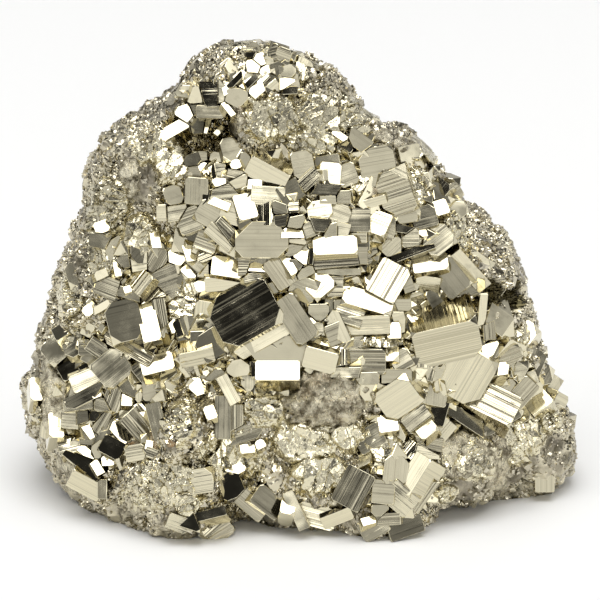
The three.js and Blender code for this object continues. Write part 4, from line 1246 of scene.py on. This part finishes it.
def broken_face(x, v, width, height, chip, lights):
    """A break: a patch of chips that lie on the heap and each catch one of some lights."""
    places, rim, quads = patch(x, v, width, height, BREAK_STEP)
    under, squarely = skin_under(places)
    count = int(CHIP_CROWDING * width * height / chip ** 2)
    seeds = (x, v) + rng.uniform(-0.7, 0.7, (count, 2)) * (width, height)
    gathered = seeds[rng.integers(0, count, count // 2)]
    seeds[:count // 2] = gathered + rng.normal(0, 0.5 * chip, gathered.shape)
    seats, met = seats_on_face(*seeds.T)
    seeds, seats = seeds[met], seats[met]
    count = len(seeds)
    names, shares = zip(*CHIP_LIGHTS[lights])
    chosen = rng.choice(len(names), count, p=shares)
    facing = np.empty((count, 3))
    for i, lie in enumerate(skin_ways_out(seats)):
        choice = np.array([laid(*turn, 0)[2] for turn in FACINGS[names[chosen[i]]]])
        facing[i] = choice[np.argmax(choice @ lie)]
    facing += rng.normal(0, CHIP_LEAN, facing.shape)
    level = seats @ OUT_FACE + standing(*seeds.T) + BREAK_RISE + rng.uniform(-CHIP_STEP, CHIP_STEP, count)
    level -= PIT_DEPTH * (rng.random(count) < PIT_SHARE)
    grain = rng.uniform(0, math.pi)
    along, beside = (math.cos(grain), math.sin(grain)), (-math.sin(grain), math.cos(grain))
    squeeze = np.column_stack([along, np.multiply(SLENDER, beside)])
    nearest = np.argmin(np.linalg.norm((places[:, None] - seeds[None]) @ squeeze, axis=2), axis=1)
    near, slopes = places - seeds[nearest], facing[nearest]
    climb = near[:, 0] * (slopes @ ACROSS) + near[:, 1] * (slopes @ UP_FACE)
    out = level[nearest] - climb / (slopes @ OUT_FACE)
    out = np.clip(out, under + BREAK_RISE - MOST_UNEVEN, under + BREAK_RISE + MOST_UNEVEN)
    out -= BREAK_SINK * np.clip(rim - BREAK_RIM, 0, 0.7) + SIDE_SINK * np.clip(SIDE_FROM - squarely, 0, 0.5)
    return kept_faces(on_face(places, out), rim, squarely, quads)


def join_patches(name, patches, material):
    """One mesh of many patches, each given by its points and its faces."""
    starts = np.cumsum([0] + [len(points) for points, _ in patches])
    points = np.concatenate([points for points, _ in patches])
    quads = np.concatenate([faces + start for (_, faces), start in zip(patches, starts)])
    points[:, 2] = np.maximum(points[:, 2], 0)
    return make_piece(name, points, quads.ravel(), np.full(len(quads), 4), material,
                      tarnish=tarnish_at(points)[quads.ravel()])


join_patches("broken_faces", [broken_face(*row) for row in BROKEN], snapped)

# ---------------------------------------------------------------- the worn lumps
# A few lumps of the ore are rubbed or dissolved smooth. They are dull and taupe, with thin dark cracks,
# and some are stained by rust.

WORN = [  # across, up the face, width, height, how far it bulges, how rusty it is
    (4.8, 14.2, 14, 9.6, 1.5, 0.15),
    (26.6, 5.6, 13, 8, 0.5, 0),
    (33.6, 3.6, 5, 10, 0.6, 0.1),
    (-24.6, 7.2, 9, 3.6, 0.5, 0.9),
    (-41.4, 14, 5, 12, 0.3, 0),
    (-39.4, 1.4, 4, 9, 0.3, 0),
    (-28.2, 51.5, 3.6, 8, 0.3, 0),
    (14.4, 53.6, 5, 5.4, 1.1, 0),
    (12.4, 49.6, 5, 3.4, 0.7, 0.3),
    (14.2, 58.6, 3.2, 3.2, 0.9, 0),
    (20.2, 57.2, 4.4, 3.8, 0.8, 0),
    (17, 57, 3, 3, 0.9, 0),
    (-10.6, 61, 3.2, 5.8, 0.6, 0.15),
    (33.9, 28.4, 3.6, 4, 0.3, 0),
    (9.5, 66.5, 6, 4, 0.2, 0),
]
WORN_STEP = 0.2  # mm between the points of a lump
CRACK_WIDTH, CRACK_DEPTH = 0.035, 0.5
CRACK_SIZES = 4.5, 3
CRACK_BEND = 0.003
CRACK_FINENESS, CRACK_EDGE = 420, 0.045
WORN_MOTTLE_FINENESS, RUST_FINENESS, PORE_FINENESS = 420, 240, 2400
PORE_DEPTH = 0.0004
KNOB_SIZE, KNOB_HEIGHT = 3.4, 0.42
LUMP_SINK, LUMP_RIM = 6, 0.9  # how steeply a lump dives into the ore, and from where in its outline
WORN_SHADE, WORN_LIGHT = (0.23, 0.2, 0.135, 1), (0.86, 0.8, 0.62, 1)
RUST_COLOUR, CRACK_COLOUR = (0.46, 0.29, 0.14, 1), (0.07, 0.055, 0.03, 1)

worn, tree, shader = new_material("worn ore")
place = place_on(tree)
clouds = clouds_at(tree, place, WORN_MOTTLE_FINENESS, 8, 0.72)
body = ramp(tree, clouds, (0.4, WORN_SHADE), (0.56, WORN_LIGHT))
rusty = spread(tree, clouds_at(tree, place, RUST_FINENESS, 4), 0.42, 0.6, 0, 1)
rusty = sums(tree, "MULTIPLY", from_mesh(tree, "rust"), rusty)
rusted = mixed(tree, rusty, body, RUST_COLOUR)
bends = vector_sum(tree, "SCALE", clouds_at(tree, place, 500, 6, output="Color"), CRACK_BEND)
bent = vector_sum(tree, "ADD", place, bends)
crack = put(tree, "ShaderNodeTexVoronoi", {"Vector": bent, "Scale": CRACK_FINENESS},
            feature="DISTANCE_TO_EDGE")
crack = spread(tree, crack.outputs["Distance"], 0, CRACK_EDGE, 1, 0)
broken = spread(tree, clouds_at(tree, place, 380, 3), 0.44, 0.58, 0, 0.95)
cracked = mixed(tree, sums(tree, "MULTIPLY", crack, broken), rusted, CRACK_COLOUR)
tarnished_and_shaded = group_in(tree, tarnished, Colour=cracked)
sparkle = group_in(tree, glitter, Cell=0.3, Tilt=0.9, Spread=1.6)
pores = clouds_at(tree, place, PORE_FINENESS, 6, 0.7)
pitted = put(tree, "ShaderNodeBump", {"Height": pores, "Normal": sparkle.outputs["Normal"], "Strength": 0.9,
                                      "Distance": PORE_DEPTH})
glints = spread(tree, sparkle.outputs["Chance"], 0.7, 0.8, 1, 0.15)
rough = sums(tree, "MULTIPLY", spread(tree, clouds, 0.4, 0.62, 0.6, 0.36), glints)
finish(tree, shader, tarnished_and_shaded.outputs["Colour"], pitted.outputs["Normal"], rough)


def worn_lump(x, v, width, height, bulge):
    """A low dome with an uneven outline, knobbly and cracked: its points and its faces."""
    places, rim, quads = patch(x, v, width, height, WORN_STEP)
    under, squarely = skin_under(places)
    knobs = np.array([noise.fractal(Vector((*p, x)) / KNOB_SIZE, 0.7, 2.1, 5) for p in places])
    from_crack = np.array([[abs(noise.noise(Vector((*p, 7 + x)) / size)) for size in CRACK_SIZES]
                           for p in places])
    cracks = np.exp(-from_crack / CRACK_WIDTH).max(axis=1)
    out = under + bulge * np.sqrt(np.clip(1.05 - rim ** 2, 0, 1))
    out -= LUMP_SINK * np.clip(rim - LUMP_RIM, 0, 0.7) + SIDE_SINK * np.clip(SIDE_FROM - squarely, 0, 0.5)
    out += KNOB_HEIGHT * knobs - CRACK_DEPTH * cracks
    return kept_faces(on_face(places, out), rim, squarely, quads)


lumps_made = [worn_lump(*row[:5]) for row in WORN]
join_patches("worn_lumps", lumps_made, worn)
rust = np.concatenate([np.full(4 * len(faces), row[5]) for row, (_, faces) in zip(WORN, lumps_made)])
mesh = bpy.data.objects["worn_lumps"].data
mesh.attributes.new("rust", "FLOAT", "CORNER").data.foreach_set("value", rust.astype(np.float32))
mesh.shade_smooth()

# ---------------------------------------------------------------- the crust
# The rest of the surface is a crust of crystals the size of coarse sand, sunk in the ore they grew from.

CRUST = [  # how many, smallest and largest in mm, how far they turn from lying flat, how far they stand out
    (1000, 0.8, 2.2, 0.3, 0.18),
    (9000, 0.3, 0.8, 0.5, 0.3),
]
CRUST_SPREAD = 0.6, 1.2  # how unlike a grain's three sizes are
CORNER_SPREAD = 0.6, 1.15  # and how uneven its corners are
CRUST_STRAY = 0.15  # mm that a grain may stand further out
CRUST_SHADE, CRUST_LIGHT = (0.42, 0.38, 0.29, 1), (0.78, 0.73, 0.58, 1)

crust_ore, tree, shader = new_material("crust crystals")
sparkle = group_in(tree, glitter, Cell=0.4, Tilt=0.5, Spread=2.5)
tint = mixed(tree, clouds_at(tree, place_on(tree), 200, 4), CRUST_SHADE, CRUST_LIGHT)
rough = spread(tree, sparkle.outputs["Chance"], 0, 1, 0.12, 0.4)
finish(tree, shader, tint, sparkle.outputs["Normal"], rough)

BOX_FACES = [(0, 4, 6, 2), (1, 3, 7, 5), (0, 1, 5, 4), (2, 6, 7, 3), (0, 2, 3, 1), (4, 5, 7, 6)]


def free_of_blocks(where):
    """Which points in mm are outside every striated block."""
    clear = np.ones(len(where), bool)
    for centre, axes, half in block_frames:
        clear &= ~(np.abs((where - centre) @ axes.T) < half).all(axis=1)
    return clear


def frames_on(ways, wobble):
    """Random frames whose last axis stays near the given ways."""
    out_axis = ways + rng.normal(0, wobble, ways.shape)
    out_axis /= np.linalg.norm(out_axis, axis=1)[:, None]
    along = np.cross(out_axis, rng.normal(size=ways.shape))
    along /= np.linalg.norm(along, axis=1)[:, None]
    return np.stack([along, np.cross(out_axis, along), out_axis], axis=1)


def crust_blocks(name, centres, halves, frames, material):
    """Many small uneven blocks, joined in one mesh."""
    count = len(centres)
    local = SIGNS[None, :, :] * halves[:, None, :]
    local *= rng.uniform(*CORNER_SPREAD, (count, 8, 3))
    world = np.einsum("npi,nij->npj", local, frames) + centres[:, None, :]
    world[..., 2] = np.maximum(world[..., 2], 0)
    corners = (np.array(BOX_FACES).ravel()[None, :] + 8 * np.arange(count)[:, None]).ravel()
    return make_piece(name, world.reshape(-1, 3), corners, np.full(6 * count, 4), material)


tri = skin_points[skin_faces]
area = np.linalg.norm(np.cross(tri[:, 1] - tri[:, 0], tri[:, 2] - tri[:, 0]), axis=1) / 2
area[tri[..., 2].max(axis=1) < 0.05] = 0
middles = tri.mean(axis=1)
for n, (wanted, smallest, largest, wobble, share_out) in enumerate(CRUST):
    spots = middles[rng.choice(len(middles), wanted, p=area / area.sum(), replace=False)]
    halves = smallest + (largest - smallest) * rng.random(wanted) ** 2
    halves = halves[:, None] * rng.uniform(*CRUST_SPREAD, (wanted, 3)) / 2
    ways = skin_ways_out(spots)
    keep = free_of_blocks(spots) & (outside_heap(spots) > -3) & (tarnish_at(spots) < CLEAN)
    spots = spots + ways * (halves[:, 2:] * (2 * share_out - 1) + rng.uniform(0, CRUST_STRAY, (wanted, 1)))
    crust_blocks(f"crust_{n + 1}", spots[keep], halves[keep], frames_on(ways, wobble)[keep], crust_ore)

# ---------------------------------------------------------------- floor, light and camera
# A white table in a soft white tent. Dark and bright cards hang round it, as the metal needs something to
# reflect, and two soft lamps stand above.

bpy.ops.mesh.primitive_plane_add(size=4)
floor = bpy.context.object
floor.name = "floor"
FLOOR_WHITE = (0.95, 0.95, 0.94, 1)
TENT_FOOT, TENT_TOP = 0.46, 0.56  # brightness of the tent
FOLD_DIM, FOLD_BRIGHT = 0.35, 1.75  # and how much its folds dim and brighten it

white = bpy.data.materials.new("white table")
white.use_nodes = True
shader = white.node_tree.nodes["Principled BSDF"]
shader.inputs["Base Color"].default_value = FLOOR_WHITE
shader.inputs["Roughness"].default_value = 0.9
floor.data.materials.append(white)
floor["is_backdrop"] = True

world = bpy.data.worlds.new("tent")
bpy.context.scene.world = world
world.use_nodes = True
tree = world.node_tree
backdrop = tree.nodes["Background"]
backdrop.inputs["Color"].default_value = (1, 1, 1, 1)
CARDS = [  # azimuth, elevation, radius in degrees, brightness
    (5, 76, 24, 1.5),
    (100, 35, 18, 0.08),
    (-120, 30, 18, 0.08),
    (135, 58, 13, 0.08),
    (-125, 64, 12, 0.1),
    (62, 24, 11, 0.1),
    (-62, 22, 13, 0.09),
    (100, 58, 9, 1.5),
    (-57, 51, 9, 1.5),
    (-82, 35, 8, 1.5),
    (-96, 50, 7, 0.2),
    (75, 8, 14, 1.5),
    (52, 34, 6, 1.5),
    (25, 50, 8, 0.3),
    (27, 49, 3, 0.04),
    (11, 42, 3.5, 1.4),
    (31, 28, 5, 0.15),
    (19, 18, 6, 0.85),
    (-16, 27, 5, 0.2),
    (-7, 28, 4.5, 1.3),
    (-25, 14, 6, 1.05),
    (33, 10, 5, 0.07),
    (-42, 5, 6, 0.08),
    (-2, 19, 2.5, 0.06),
    (0, 4, 9, 2.6),
    (-8, 45, 4, 0.1),
    (-33, 41, 17, 0.02),
    (-162, 46, 11, 0.06),
    (-168, 35, 6, 0.08),
    (-176, 61, 8, 1.5),
    (-176, 27, 5, 1.4),
    (170, 35, 4.5, 1.4),
    (170, 19, 6, 0.15),
    (145, 40, 6, 0.1),
    (153, 10, 9, 0.7),
    (42, 87, 4, 0.04),
    (-108, 5, 8, 0.03),
    (-140, 12, 9, 1.2),
    (120, 6, 12, 1.4),
]
CARD_EDGE = 0.8  # a card fades out from this share of its radius

way = put(tree, "ShaderNodeTexCoord").outputs["Generated"]
height = put(tree, "ShaderNodeSeparateXYZ", {"Vector": way}).outputs["Z"]
folds = spread(tree, clouds_at(tree, way, 3.2, 1.5), 0.38, 0.62, FOLD_DIM, FOLD_BRIGHT)
light = sums(tree, "MULTIPLY", spread(tree, height, 0, 1, TENT_FOOT, TENT_TOP), folds)
for azimuth, elevation, radius, brightness in CARDS:
    a, e = math.radians(azimuth), math.radians(elevation)
    towards = (math.sin(a) * math.cos(e), -math.cos(a) * math.cos(e), math.sin(e))
    near = put(tree, "ShaderNodeVectorMath", {0: way, 1: towards}, operation="DOT_PRODUCT").outputs["Value"]
    inner, outer = math.cos(math.radians(radius * CARD_EDGE)), math.cos(math.radians(radius))
    inputs = {"Factor": spread(tree, near, outer, inner, 0, 1), "A": light, "B": brightness}
    light = put(tree, "ShaderNodeMix", inputs, data_type="FLOAT").outputs[0]
tree.links.new(light, backdrop.inputs["Strength"])

LIGHTS = [  # x, y, z of the lamp, size, power in watts
    (0, -0.15, 1.2, 1.0, 8),
    (-0.9, -0.6, 1.1, 0.28, 1.5),
]
LAMP_AIM = 0.03  # height that the lamps point at

for n, (x, y, z, size, power) in enumerate(LIGHTS):
    lamp = bpy.data.lights.new(f"softbox_{n + 1}", "AREA")
    lamp.size = size
    lamp.energy = power
    holder = bpy.data.objects.new(lamp.name, lamp)
    holder.location = (x, y, z)
    holder.rotation_euler = (-Vector((x, y, z - LAMP_AIM))).to_track_quat("-Z", "Y").to_euler()
    bpy.context.scene.collection.objects.link(holder)

AIM_UP_FACE, AIM_OUT = 31, 24  # mm up and out of the leaning face
AWAY = 700
FIELD = 100  # mm seen across the picture at that distance
SENSOR = 36

aim = UP_FACE * AIM_UP_FACE + OUT_FACE * AIM_OUT
eye = (aim + OUT_FACE * AWAY) * MM
lens = bpy.data.cameras.new("camera")
lens.sensor_width = SENSOR
lens.lens = SENSOR * AWAY / FIELD
lens.clip_start = 0.01
camera = bpy.data.objects.new("camera", lens)
camera.location = eye
camera.rotation_euler = (math.pi / 2 - LEAN, 0, 0)
bpy.context.scene.collection.objects.link(camera)
bpy.context.scene.camera = camera
bpy.context.scene.view_settings.view_transform = "Standard"

size = {"cad": [list(corner) for corner in cad_box], "visual": [list(corner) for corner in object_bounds()]}
